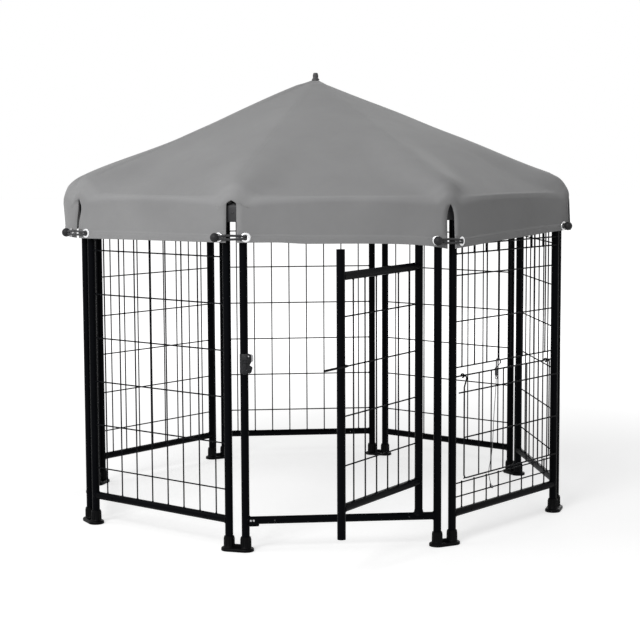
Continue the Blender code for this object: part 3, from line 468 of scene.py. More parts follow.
def rounded_box(low, high, radius, steps=3):
    """An outline in XZ with round corners."""
    outline = []
    left, right, bottom, top = low[0] + radius, high[0] - radius, low[1] + radius, high[1] - radius
    for quarter, (x, z) in enumerate(((right, top), (left, top), (left, bottom), (right, bottom))):
        for i in range(steps + 1):
            angle = pi / 2.0 * (quarter + i / steps)
            outline.append((x + radius * cos(angle), z + radius * sin(angle)))
    return outline


# Tether

def smooth_path(points, pitch):
    """Evenly spaced points on a Catmull-Rom curve through the given points."""
    dense = [points[0]]
    ends = [points[0] * 2.0 - points[1]] + points + [points[-1] * 2.0 - points[-2]]
    for i in range(len(points) - 1):
        a, b, c, d = ends[i : i + 4]
        for k in range(1, 21):
            t = k / 20.0
            dense.append(
                0.5 * (b * 2.0 + (c - a) * t + (a * 2.0 - b * 5.0 + c * 4.0 - d) * t * t)
                + 0.5 * (b * 3.0 - a - c * 3.0 + d) * t * t * t
            )
    lengths = [0.0]
    for first, second in zip(dense, dense[1:]):
        lengths.append(lengths[-1] + (second - first).length)
    count = int(round(lengths[-1] / pitch))
    path = []
    index = 0
    for i in range(count + 1):
        target = lengths[-1] * i / count
        while index < len(lengths) - 2 and lengths[index + 1] < target:
            index += 1
        share = (target - lengths[index]) / (lengths[index + 1] - lengths[index])
        path.append(dense[index].lerp(dense[index + 1], share))
    return path


crimp_inside = wire / 2.0 + seat_gap * 2.0 + crimp_diameter / 2.0
tether_top = hatch_upper_levels[0] + hook_rest - hook_bow_radius - hook_shank - hook_barrel_length
tether_top -= hook_eye_length + seat_gap
tether_low = hatch_lower_levels[0] + crimp_length * 0.8 + seat_gap
tether_drop = tether_top - tether_low
# Each point's shift from the hook or the crimp, its height as a share of the drop and its place inward
tether_places = [
    Vector((start + shift, inward, tether_top - tether_drop * share))
    for start, shift, inward, share in (
        (hook_place, 0.0, hook_inside, 0.0),
        (hook_place, -0.0015, hook_inside + 0.001, 0.12),
        (hook_place, -0.0065, hook_inside + 0.003, 0.36),
        (hook_place, -0.0110, hook_inside + 0.003, 0.58),
        (hook_place, -0.0200, hook_inside + 0.002, 0.74),
        (crimp_place, -0.0065, crimp_inside + 0.002, 0.88),
        (crimp_place, 0.0, crimp_inside, 1.0),
    )
]
hatch_panel = panel_frame(1)
tether_path = [hatch_panel @ point for point in reversed(smooth_path(tether_places, tether_point_pitch))]
tether_curve = bpy.data.curves.new("tether_cable", "CURVE")
tether_curve.dimensions = "3D"
tether_curve.bevel_depth = tether_diameter / 2.0
tether_curve.bevel_resolution = 3
tether_curve.use_fill_caps = True
spline = tether_curve.splines.new("POLY")
spline.points.add(len(tether_path) - 1)
for point, place_at in zip(spline.points, tether_path):
    point.co = (*place_at, 1.0)
tether = dress(bpy.data.objects.new("tether_cable", tether_curve), cable_coat, None, ["tether"])


# Panel frames: two posts and two rails, a weld bead round each joint and drain holes in the lower rail

tube_sides = 28


def hollow_post(bm, x, low, high):
    inner = post_radius - tube_wall
    lip = 0.0004
    profile = [(inner, low), (post_radius - lip, low), (post_radius, low + lip)]
    profile += [(post_radius, high - lip), (post_radius - lip, high), (inner, high)]
    lathe(bm, profile, tube_sides, at(x, 0.0, 0.0), closed=True)


def rail_between(start, end, height, holes):
    """A rail from one post's axis to the other's, with the holes drilled through its front and back."""
    bm = bmesh.new()
    profile = [(rail_radius, start + tube_wall * 2.0), (rail_radius, end - tube_wall * 2.0)]
    lathe(bm, profile, tube_sides, at(0.0, 0.0, height) @ ALONG_X)
    rail = loose("rail", bm)
    if holes:
        bores = bmesh.new()
        bore = [(drain_hole / 2.0, 0.0), (drain_hole / 2.0, 4.0 * post_diameter)]
        for x in holes:
            lathe(bores, bore, 14, at(x, -2.0 * post_diameter, height) @ ALONG_Y)
        carve(rail, loose("rail_bores", bores))
    return rail


def weld_bead(bm, post_x, direction, height):
    """A rippled bead where a rail meets a post."""
    path = []
    for across, up in round_steps(36):
        y = (rail_radius - 0.0004) * across
        depth = sqrt(max(post_radius**2 - y**2, 0.0))
        path.append(Vector((post_x + direction * depth, y, height + rail_radius * up)))
    sweep(bm, path, 0.0021, 8, closed=True, ripple=0.14)


def welded_frame(x_left, x_right, low, high, rails, drilled=()):
    bm = bmesh.new()
    for x in (x_left, x_right):
        hollow_post(bm, x, low, high)
    for height in rails:
        inset = post_radius + drain_inset
        holes = [x_left + inset, x_right - inset] if height in drilled else []
        absorb(bm, rail_between(x_left, x_right, height, holes))
        weld_bead(bm, x_left, 1.0, height)
        weld_bead(bm, x_right, -1.0, height)
    return bm


SIDE_NAMES = ["front", "front_right", "right", "back_right", "back", "back_left", "left", "front_left"]

for side, side_name in enumerate(SIDE_NAMES):
    rails = (rail_height, top_rail_height)
    tubes = welded_frame(-rail_half, rail_half, post_bottom, post_top, rails, (rail_height,))
    new_piece("tubes_" + side_name, tubes, powder_coat, panel_frame(side), ["frame_" + side_name])


# Welded mesh: level wires on the outer side of upright ones, with a weld lump at each crossing

def welded_mesh(columns, levels, span_x, span_z, thickness):
    bm = bmesh.new()
    radius = thickness / 2.0
    offset = thickness * 0.45
    for z in levels:
        straight(bm, (span_x[0], -offset, z), (span_x[1], -offset, z), radius, 10)
    for x in columns:
        straight(bm, (x, offset, span_z[0]), (x, offset, span_z[1]), radius, 10)
        for z in levels:
            blob(bm, (x, 0.0, z), (thickness * 0.62, thickness * 0.5, thickness * 0.62))
        for z in span_z:
            blob(bm, (x, offset, z), (thickness * 0.8, thickness * 0.8, thickness * 0.9))
    for x in span_x:
        for z in levels:
            blob(bm, (x, -offset, z), (thickness * 0.9, thickness * 0.8, thickness * 0.8))
    return bm


def spread(count, pitch):
    return [(i - (count - 1) / 2.0) * pitch for i in range(count)]


mesh_columns = spread(mesh_verticals, mesh_pitch_across)
mesh_span = (-rail_half + post_radius, rail_half - post_radius)
mesh_low = rail_height + rail_radius
mesh_high = top_rail_height - rail_radius
full_levels = [first_wire_height + mesh_pitch_up * i for i in range(mesh_levels)]
for side, side_name in list(enumerate(SIDE_NAMES))[2:]:
    grid = welded_mesh(mesh_columns, full_levels, mesh_span, (mesh_low, mesh_high), coated_wire)
    new_piece("grid_" + side_name, grid, wire_coat, panel_frame(side), ["mesh_" + side_name])
upper_span = (hatch_upper_levels[0], mesh_high)
upper_grid = welded_mesh(mesh_columns, hatch_upper_levels, mesh_span, upper_span, coated_wire)
# The coating's extra thickness stands away from the hatch, which stops against the lowest wire.
bmesh.ops.translate(upper_grid, verts=upper_grid.verts[:], vec=(0.0, 0.0006, 0.0006))
# A narrow strip of mesh on the outer side, hung from the top rail; the hem hides its upper part.
strip_columns = [strip_first_column + strip_pitch * i for i in range(mesh_verticals)]
strip_outward = 0.006
strip_reach = rail_half - 0.0077
strip_span = (strip_levels[0], mesh_high + 0.002)
strip = welded_mesh(strip_columns, strip_levels, (-strip_reach, strip_reach), strip_span, coated_frame_wire)
bmesh.ops.translate(strip, verts=strip.verts[:], vec=(0.0, -strip_outward, 0.0))
absorb(upper_grid, loose("strip", strip))
new_piece("grid_feed_upper", upper_grid, wire_coat, hatch_panel, ["mesh_front_right_upper"])
lower_span = (mesh_low, hatch_lower_levels[1])
lower_grid = welded_mesh(mesh_columns, hatch_lower_levels, mesh_span, lower_span, coated_wire)
new_piece("grid_feed_lower", lower_grid, wire_coat, hatch_panel, ["mesh_front_right_lower"])
pivot_bar = bmesh.new()
pivot_ends = [Vector((x, 0.0, hatch_pivot_height)) for x in mesh_span]
straight(pivot_bar, *pivot_ends, hatch_pivot_wire / 2.0, 16)
for pivot_end in pivot_ends:
    blob(pivot_bar, pivot_end, (0.0034, 0.0034, 0.0034))
new_piece("hatch_pivot_bar", pivot_bar, wire_coat, hatch_panel)


# Feed hatch: a bent outline, level wires over it and an eye round the pivot bar at each side

def rounded_corner(corner, before, after, radius, steps=6):
    """Points that round a right-angled corner between two directions."""
    start = corner - before * radius
    hub = start + after * radius
    return [hub - after * radius * cos(pi / 2.0 * i / steps) + before * radius * sin(pi / 2.0 * i / steps)
            for i in range(steps + 1)]


def hatch_grid():
    bm = bmesh.new()
    half = coated_frame_wire / 2.0
    upright = 0.0018
    side_x = mesh_columns[-1]
    bend = 0.011
    bowed_x = -side_x - bend
    low = hatch_bottom + half
    outer = -hatch_offset
    reach = rail_half - post_radius + hatch_overlap
    path = [(-side_x, hatch_pivot_height - 0.004), (-side_x, hatch_pivot_height - 0.008)]
    path = [Vector((x, outer, z)) for x, z in path + [(bowed_x, hatch_pivot_height - 0.030), (bowed_x, 0.32)]]
    path += rounded_corner(Vector((bowed_x, outer, low)), -UP, RIGHT, bend)
    path += [Vector((x, outer, low)) for x in (reach - bend, reach)]
    sweep(bm, path, half, 12)
    for x in mesh_columns[1:]:
        straight(bm, (x, outer, low), (x, outer, hatch_pivot_height + half), upright)
    for z in hatch_levels:
        start = -rail_half + post_radius if z == hatch_levels[-1] else bowed_x
        straight(bm, (start, outer - half * 0.8, z), (reach, outer - half * 0.8, z), half)
    for x in [bowed_x] + mesh_columns[1:]:
        for z in hatch_levels:
            blob(bm, (x, outer - half * 0.4, z), (0.0026, 0.0022, 0.0026))
        blob(bm, (x, outer, low), (0.0025, 0.0025, 0.0025))
    eye = hatch_pivot_wire / 2.0 + 0.0005 + half
    for x in (-side_x, side_x):
        hub = Vector((x, 0.0, hatch_pivot_height))
        sweep(bm, arc(hub, eye, -2.2, 3.4, 18, UP, -BACK), half * 0.98, 10)
        link = ((outer, -0.012), (outer, -0.004), (outer * 0.72, 0.0), (-eye, 0.0))
        link = [hub + Vector((0.0, y, z)) for y, z in link]
        sweep(bm, smooth_path(link, 0.002), half * 0.98, 10)
    return bm


new_piece("hatch_grid", hatch_grid(), wire_coat, hatch_panel, ["feed_hatch"], "feed_hatch")


# Door pivots on the front frame, and the door leaf

front_panel = panel_frame(0)
hinge_axis = at(door_hinge.x, 0.0, 0.0)
pivots = bmesh.new()
neck = post_radius + 0.001
collar = 0.018
pin = post_radius - tube_wall - 0.0005
gap = 0.0004
chamfer = 0.0012
pin_reach = 0.030
collar_low = [
    (collar, rail_height + rail_radius * 0.35),
    (collar * 0.93, rail_height + rail_radius * 0.80),
    (collar * 0.78, rail_height + rail_radius * 1.02),
    (neck * 1.03, rail_height + rail_radius * 1.25),
    (neck, door_bottom - gap - chamfer),
    (neck - 0.0008, door_bottom - gap),
    (pin, door_bottom - gap),
    (pin, door_bottom + pin_reach - 0.002),
    (pin * 0.7, door_bottom + pin_reach),
]
lathe(pivots, collar_low, tube_sides, hinge_axis)
collar_high = [
    (pin * 0.7, door_top - pin_reach),
    (pin, door_top - pin_reach + 0.002),
    (pin, door_top + gap),
    (neck - 0.0008, door_top + gap),
    (neck, door_top + gap + chamfer),
    (neck, top_rail_height - rail_radius * 0.3),
]
lathe(pivots, collar_high, tube_sides, hinge_axis)
stop_low = (-rail_half + 0.009, rail_height - 0.0145)
stop_high = (-rail_half + 0.036, rail_height + 0.0065)
plate(pivots, rounded_box(stop_low, stop_high, 0.003), 0.0042, at(0.0, -rail_radius - 0.0030, 0.0))
new_piece("door_pivots", pivots, powder_coat, front_panel)
rivets = bmesh.new()
rivet_head = mm((3.2, 0.0), (3.2, 0.8), (2.4, 1.8), (0.5, 2.2))
for x in (stop_low[0] + 0.0045, stop_low[0] + 0.0125):
    lathe(rivets, rivet_head, 16, at(x, -rail_radius - 0.0028, stop_high[1] - 0.0050) @ FACING_OUT)
new_piece("stop_rivets", rivets, bright_zinc, front_panel)

leaf = leaf_frame()
low_rail = door_bottom + door_rail_inset
high_rail = door_top - door_top_rail_inset
tubes = welded_frame(0.0, door_width, door_bottom, door_top, (low_rail, high_rail))
new_piece("door_tubes", tubes, powder_coat, leaf, ["door_frame"], "door")
door_pitch = door_width / (door_verticals + 1)
door_columns = [door_pitch * (i + 1) for i in range(door_verticals)]
door_rows = [door_first_wire + mesh_pitch_up * i for i in range(door_levels)]
door_grid = welded_mesh(
    door_columns, door_rows, (post_radius, door_width - post_radius),
    (low_rail + rail_radius, high_rail - rail_radius), coated_wire,
)
new_piece("door_grid", door_grid, wire_coat, leaf, ["door_mesh"], "door")
striker = bmesh.new()
rod = striker_diameter / 2.0
tip = door_width + striker_reach
rod_places = (door_width - post_radius, door_width, tip - 0.004, tip - 0.0012, tip)
rod_path = [Vector((x, striker_offset, striker_height)) for x in rod_places]
sweep(striker, rod_path, [rod, rod, rod, rod * 0.92, rod * 0.6], 18)
bead_hub = Vector((door_width - 0.004, striker_offset - rod * 0.55, striker_height))
bead = [bead_hub + Vector((0.008 * x, 0.0, rod * 1.02 * z)) for x, z in round_steps(24)]
sweep(striker, bead, 0.0011, 6, closed=True, ripple=0.15)
new_piece("door_striker", striker, powder_coat, leaf, (), "door")


# Door latch: a saddle and its housing on the left post, a pin, and the gate with its tooth

keeper_low, keeper_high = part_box("latch_keeper")
gate_low, gate_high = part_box("latch_gate")
gate_hinge = Vector(joints["latch_gate_hinge"]["pos_m"])
latch_post_x = -rail_half
saddle_y = centre.y - apothem


def latch_spot(x, z, y=0.0):
    """A place on the latch: x from the post's axis, z from the housing's top, y outward from the post."""
    return Vector((latch_post_x + x, saddle_y - post_radius - y, keeper_high[2] + z))


keeper = bmesh.new()
saddle_gap = 0.0001
saddle_angles = [pi * (0.94 + 1.12 * i / 14) for i in range(15)]


def saddle_row(radius, z, angles):
    return [keeper.verts.new((latch_post_x + radius * cos(a), saddle_y + radius * sin(a), z)) for a in angles]


rows = []
for z, grow in ((keeper_low[2] + 0.002, 0.0006), (keeper_low[2] + 0.003, 0.0012),
                (keeper_high[2] - 0.002, 0.0012), (keeper_high[2] - 0.001, 0.0006)):
    outer = saddle_row(post_radius + grow, z, saddle_angles)
    rows.append(outer + saddle_row(post_radius + saddle_gap, z, reversed(saddle_angles)))
skin(keeper, rows)
# The housing's face, with a notch for the striker on its right and a claw below the notch
housing = mm(
    (-4.0, -2.2), (1.0, -0.6), (6.0, 0.3), (12.0, 0.3), (16.2, -1.0), (18.4, -4.5), (19.0, -14.0),
    (18.8, -22.5), (15.0, -29.0), (14.6, -31.8), (20.5, -36.0), (20.0, -44.0), (17.8, -51.5), (13.0, -54.0),
    (6.0, -51.0), (-2.0, -50.0), (-6.2, -47.0), (-8.0, -33.0), (-8.2, -14.0), (-6.6, -4.0),
)
plate(keeper, housing, 0.0036, Matrix.Translation(latch_spot(0.0, 0.0, 0.0040)), bevel=0.0012)
inner_rim = [(x * 0.62 + 0.0022, z * 0.55 - 0.0045) for x, z in housing]
plate(keeper, inner_rim, 0.0016, Matrix.Translation(latch_spot(0.0, 0.0, 0.0052)), bevel=0.0010)
for spot, major, minor in (
    (latch_spot(0.0112, -0.0070, 0.0052), 0.0048, 0.0017),
    (latch_spot(0.0150, -0.0455, 0.0046), 0.0036, 0.0013),
):
    torus(keeper, major, minor, Matrix.Translation(spot) @ FACING_OUT)
claw = [latch_spot(*point) for point in mm((18.0, -35.0, 4.0), (20.5, -37.5, 5.2), (19.6, -43.0, 5.6))]
sweep(keeper, claw, [0.0016, 0.0014, 0.0009], 10)
gate_mid = (gate_low[0] + gate_high[0]) / 2.0
cheek = rounded_box((-0.0048, -0.0048), (0.0048, 0.0048), 0.0040, 5)
for cheek_x in (gate_low[0] - 0.0026, gate_high[0] + 0.0004):
    spot = at(cheek_x, gate_hinge.y, gate_hinge.z) @ Matrix.Rotation(pi / 2.0, 4, "Z")
    plate(keeper, cheek, -0.0022, spot)
pin_profile = mm((2.6, 0.0), (3.0, 0.6), (2.0, 1.2), (2.0, 16.0), (3.0, 16.6), (2.6, 17.2))
lathe(keeper, pin_profile, 18, at(gate_low[0] - 0.0036, gate_hinge.y, gate_hinge.z) @ ALONG_X)
new_piece("latch_saddle", keeper, dark_zinc, None, ["latch_keeper"])

studs = bmesh.new()
stud_head = mm((2.2, 0.0), (2.2, 0.8), (1.5, 1.6), (0.4, 1.9))
for spot in (latch_spot(0.0112, -0.0070, 0.0048), latch_spot(0.0040, -0.0440, 0.0040)):
    lathe(studs, stud_head, 16, Matrix.Translation(spot) @ FACING_OUT)
tongue = mm((17.2, -1.0), (22.6, -3.0), (24.2, -11.0), (23.6, -20.5), (17.6, -23.0))
plate(studs, tongue, 0.0016, Matrix.Translation(latch_spot(0.0, 0.0, 0.0020)), bevel=0.0004)
new_piece("latch_studs", studs, bright_zinc)

gate = bmesh.new()
half_gate = (gate_high[0] - gate_low[0]) / 2.0
gate_depth = 0.0030
drop = gate_hinge.z - gate_low[2]
tooth = rounded_box((-half_gate, 0.0), (half_gate, drop), 0.0026, 5)
gate_back = at(gate_mid, gate_hinge.y - gate_depth / 2.0, gate_hinge.z)
plate(gate, [(x, -z) for x, z in tooth], gate_depth, gate_back)
for x in (-half_gate * 0.5, 0.0, half_gate * 0.5):
    groove = [gate_back @ Vector((x, 0.0, -drop * share)) for share in (0.25, 0.5, 0.78)]
    sweep(gate, groove, [0.0003, 0.0008, 0.0003], 8)
boss = [(0.0023, -half_gate), (0.0034, -half_gate), (0.0038, -half_gate + 0.0005)]
boss += [(radius, -x) for radius, x in reversed(boss)]
lathe(gate, boss, 20, at(gate_mid, gate_hinge.y, gate_hinge.z) @ ALONG_X, closed=True)
lip = rounded_box((-half_gate, -0.0015), (half_gate, 0.0015), 0.0014, 3)
plate(gate, lip, 0.0055, at(gate_mid, gate_low[1], gate_low[2] + 0.0016))
new_piece("latch_tooth", gate, dark_zinc, None, ["latch_gate"], "latch_gate")


# Feet: a sole with rounded rims, two ribbed cups and the web between them

def stadium(length, width, points=17):
    """An outline with half-round ends, its length along Y."""
    end = width / 2.0
    straight_part = length / 2.0 - end
    outline = []
    for start, sign in ((0.0, 1.0), (pi, -1.0)):
        for i in range(points):
            angle = start + pi * i / (points - 1)
            outline.append((end * cos(angle), sign * straight_part + end * sin(angle)))
    return outline


def stadium_block(bm, length, width, levels):
    """A block with half-round ends; levels gives heights and how far the sides stand in there."""
    rows = []
    for z, inset in levels:
        outline = stadium(length - 2.0 * inset, width - 2.0 * inset)
        rows.append([bm.verts.new((x, y, z)) for x, y in outline])
    skin(bm, rows)


def foot_mesh():
    bm = bmesh.new()
    sole_levels = mm((0.0, 1.2), (0.8, 0.0), (6.2, 0.0), (7.8, 0.6), (9.0, 2.0), (9.8, 4.5))
    stadium_block(bm, sole_length, sole_width, sole_levels)
    floor_of_cup = sole_levels[-1][0]
    inner = post_radius + seat_gap
    for y in (-twin_spacing / 2.0, twin_spacing / 2.0):
        profile = [
            (inner, floor_of_cup),
            (inner, cup_top - 0.0010),
            (inner + 0.0006, cup_top),
            (cup_radius - 0.0008, cup_top),
            (cup_radius, cup_top - 0.0008),
            (cup_radius + 0.0003, floor_of_cup + 0.004),
            (cup_radius + 0.0018, floor_of_cup + 0.0010),
            (cup_radius + 0.0030, floor_of_cup - 0.0004),
        ]
        lathe(bm, profile, 40, at(0.0, y, 0.0), closed=True)
        for across, along in round_steps(12, 0.5):
            out = Vector((across, along, 0.0))
            rib = [(cup_radius, floor_of_cup), (cup_radius, cup_top - 0.006)]
            rib.append((cup_radius - 0.0006, cup_top - 0.002))
            rib = [BACK * y + out * radius + UP * z for radius, z in rib]
            sweep(bm, rib, [0.0015, 0.0012, 0.0006], 8)
    web = mm((-3.0, 8.0), (3.0, 8.0), (3.0, 16.8), (2.0, 18.0), (-2.0, 18.0), (-3.0, 16.8))
    gap_half = twin_spacing / 2.0 - cup_radius + 0.001
    bridge(bm, *[[bm.verts.new((x, y, z)) for x, z in web] for y in (-gap_half, gap_half)])
    return bm


foot_shape = foot_mesh()
for corner in range(PANELS):
    new_piece(
        "moulded_foot_%d" % (corner + 1), foot_shape.copy(), moulded,
        corner_frame(corner, twin_radius), ["foot_%d" % (corner + 1)],
    )
foot_shape.free()


# Top connectors and roof poles

hip_slope = atan(tan(canopy_slope) * cos(half_turn))
pole_drop = (canopy_thickness / cos(canopy_slope)) * cos(hip_slope) + seat_gap + pole_diameter / 2.0
connector_low, connector_high = (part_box("top_connector_1")[i][2] for i in (0, 1))


def pole_line(radius):
    return canopy_apex - tan(hip_slope) * radius - pole_drop / cos(hip_slope)


def connector_mesh():
    bm = bmesh.new()
    levels = [
        (connector_low, 0.0008), (connector_low + 0.0008, 0.0), (connector_low + 0.018, 0.0),
        (connector_high - 0.010, 0.0), (connector_high - 0.003, 0.0015), (connector_high - 0.0008, 0.0035),
        (connector_high, 0.0055),
    ]
    stadium_block(bm, twin_spacing + 2.0 * cup_radius, 2.0 * cup_radius, levels)
    collar = pole_diameter / 2.0
    ring = [(collar + 0.0004, connector_high - 0.006), (collar + 0.0004, connector_high + 0.001),
            (collar + 0.0024, connector_high + 0.001), (collar + 0.0036, connector_high - 0.002)]
    lathe(bm, ring, 28, None, closed=True)
    band = [(cup_radius - 0.001, connector_low + 0.001), (cup_radius + 0.0004, connector_low + 0.0016),
            (cup_radius + 0.0004, connector_low + 0.0050), (cup_radius - 0.001, connector_low + 0.0056)]
    for y in (-twin_spacing / 2.0, twin_spacing / 2.0):
        lathe(bm, band, 32, at(0.0, y, 0.0), closed=True)
    button = mm((3.0, 0.0), (3.0, 1.2), (2.0, 2.0), (0.6, 2.2))
    lathe(bm, button, 16, at(cup_radius - 0.0008, 0.0, (connector_low + connector_high) / 2.0) @ ALONG_X)
    return bm


def pole_mesh():
    bend = pi / 2.0 - hip_slope
    knee = Vector((twin_radius, 0.0, pole_line(twin_radius)))
    hub = knee - UP * (pole_bend_radius * tan(bend / 2.0)) - RIGHT * pole_bend_radius
    path = [Vector((twin_radius, 0.0, connector_high - 0.0155))]
    path += arc(hub, pole_bend_radius, 0.0, bend, 14, RIGHT)
    path.append(Vector((hub_radius + 0.006, 0.0, pole_line(hub_radius + 0.006))))
    bm = bmesh.new()
    sweep(bm, path, pole_diameter / 2.0 - 0.0003, 20)
    return bm


connector_shape = connector_mesh()
pole_shape = pole_mesh()
for corner in range(PANELS):
    number = str(corner + 1)
    new_piece(
        "moulded_connector_" + number, connector_shape.copy(), socket_plastic,
        corner_frame(corner, twin_radius), ["top_connector_" + number],
    )
    new_piece(
        "bent_pole_" + number, pole_shape.copy(), powder_coat,
        corner_frame(corner), ["roof_pole_" + number],
    )
connector_shape.free()
pole_shape.free()


# Hub and finial

hub_low, hub_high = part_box("roof_hub")
hub_bm = bmesh.new()
hub_top = pole_line(hub_radius) + pole_diameter / 2.0
hub_profile = [
    (0.030, hub_low[2]), (0.044, hub_low[2] + 0.001), (hub_radius, hub_low[2] + 0.003),
    (hub_radius, hub_top - 0.004), (0.040, hub_top), (0.012, hub_top + 0.008), (0.0055, hub_top + 0.010),
    (0.0040, hub_top + 0.011), (0.0040, hub_high[2] - 0.002),
]
lathe(hub_bm, hub_profile, 48, Matrix.Translation(centre))
new_piece("moulded_hub", hub_bm, moulded, None, ["roof_hub"])

finial_low, finial_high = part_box("finial")
knob_height = finial_high[2] - finial_low[2]
knob_base = (finial_high[0] - finial_low[0]) / 2.0
knob_neck = 0.0077
knob_shape = [
    (0.0045, 0.0), (knob_base * 0.97, 0.0), (knob_base, 0.04), (knob_base * 0.97, 0.10),
    (knob_base * 0.88, 0.18), (knob_base * 0.76, 0.26), (knob_neck * 1.06, 0.35), (knob_neck, 0.44),
    (knob_neck, 0.80), (knob_neck * 0.95, 0.90), (knob_neck * 0.80, 0.965), (knob_neck * 0.45, 0.995),
    (0.0003, 1.0),
]
knob_spot = Matrix.Translation(centre + UP * finial_low[2])
knob = bmesh.new()
lathe(knob, [(radius, knob_height * share) for radius, share in knob_shape], 40, knob_spot)
for x, y in round_steps(10):
    spots = [Vector((knob_neck * x, knob_neck * y, knob_height * share)) for share in (0.34, 0.55, 0.74)]
    rib = [knob_spot @ spot for spot in spots]
    sweep(knob, rib, [0.0007, 0.0010, 0.0006], 6)
new_piece("finial_knob", knob, knob_plastic, None, ["finial"])


# Canopy: one sewn sheet, with soft hips, a rolled eave, a skirt slit at each corner and a doubled hem

DOOR_FACE = 0
FEED_FACE = 1
LEFT_FACE = 6
FRONT_LEFT_FACE = 7
RIGHT_CORNER = 2
face_columns = 32
eave_fold_radius = 0.023
left_fold_radius = 0.080
apex_hole = 0.0065
hem_fold = 0.021
cloth_thickness = 0.0012
hem_step = 0.0011
seam_ridge = 0.0018
hub_lift = 0.0055
hub_lift_reach = 0.040
roof_sag = 0.037
left_bulge = 0.045
left_lift = 0.020
right_corner_bulge = 0.011
crease_height = canopy_apex - tan(canopy_slope) * canopy_apothem
fold_turn = pi / 2.0 - canopy_slope
# Tip height, half width, roundness of the tip and sideways bend of each corner's slit
SLITS = {7: (0.962, 0.0100, 0.6, 0.0055), 0: (0.966, 0.0145, 1.0, 0.0), 1: (0.952, 0.0115, 0.3, 0.0)}
default_slit = (0.952, 0.0120, 0.5, 0.0)

ROOF, FOLD, SKIRT = range(3)
sections = [(ROOF, (i / 34.0) ** 0.9) for i in range(35)]
sections += [(FOLD, i / 20.0) for i in range(1, 21)]
sections += [(SKIRT, i / 22.0) for i in range(1, 19)]


def section_place(part, share, t, fold_radius=eave_fold_radius):
    """Apothem, height and lean of the cloth's outward side at a share of one part, t across the face."""
    radius = fold_radius + (eave_radius - fold_radius) * abs(t) ** 3
    roll_x = canopy_apothem - radius
    roll_z = crease_height - radius * tan(fold_turn / 2.0)
    if part == ROOF:
        level = apex_hole + (roll_x + radius * sin(canopy_slope) - apex_hole) * share
        return level, canopy_apex - tan(canopy_slope) * level, fold_turn
    if part == FOLD:
        lean = fold_turn * (1.0 - share)
        return roll_x + radius * cos(lean), roll_z + radius * sin(lean), lean
    return canopy_apothem, roll_z + (hem_height - roll_z) * share, 0.0


def smooth_share(value, low, high):
    """0 below low, 1 above high and a smooth change between them."""
    share = max(0.0, min(1.0, (value - low) / (high - low)))
    return share * share * (3.0 - 2.0 * share)


def corner_rounding(level):
    share = min(1.0, level / canopy_apothem)
    return 0.006 + 0.085 * share - 0.027 * share * share


def octagon_spot(level, run, rounding):
    """Point and outward direction on a round-cornered octagon, run metres along from the middle of a face."""
    flat = (level - rounding) * tan(half_turn)
    sign = 1.0 if run >= 0.0 else -1.0
    past = abs(run) - flat
    if past <= 0.0 or rounding <= 0.0:
        return Vector((run, -level)), Vector((0.0, -1.0))
    angle = min(past / rounding, half_turn)
    out = Vector((sign * sin(angle), -cos(angle)))
    return Vector((sign * flat, rounding - level)) + out * rounding, out


def half_run(level, rounding):
    return (level - rounding) * tan(half_turn) + rounding * half_turn


def slit_edges(corner, z):
    """Half width and sideways bend of a corner's slit at this height."""
    tip, half, roundness, bend = SLITS.get(corner, default_slit)
    if z >= tip:
        return 0.0, 0.0
    depth_below = tip - z
    near_tip = min(1.0, depth_below / (0.010 + 0.040 * (1.0 - roundness)))
    width = half * sqrt(max(0.0, 1.0 - (1.0 - near_tip) ** 2)) ** (2.0 - roundness)
    share = depth_below / (tip - hem_height)
    return width, bend * sin(2.0 * pi * share) * min(1.0, share * 5.0)


def hem_drop(face, t, reach):
    """How far the hem hangs low: most at the corner right of the door; it runs up along the feed side."""
    if face == DOOR_FACE:
        near_corner = exp(-max(0.0, (1.0 - t) * reach) / 0.085)
        return 0.0030 + 0.0045 * smooth_share(t, -0.62, -0.30) + 0.0175 * near_corner
    if face == FEED_FACE:
        return 0.0105 - 0.0145 * t
    if face in (LEFT_FACE, FRONT_LEFT_FACE):
        from_corner = (1.0 - t if face == LEFT_FACE else 1.0 + t) / 2.0
        return 0.0085 - 0.0055 * from_corner
    return 0.0


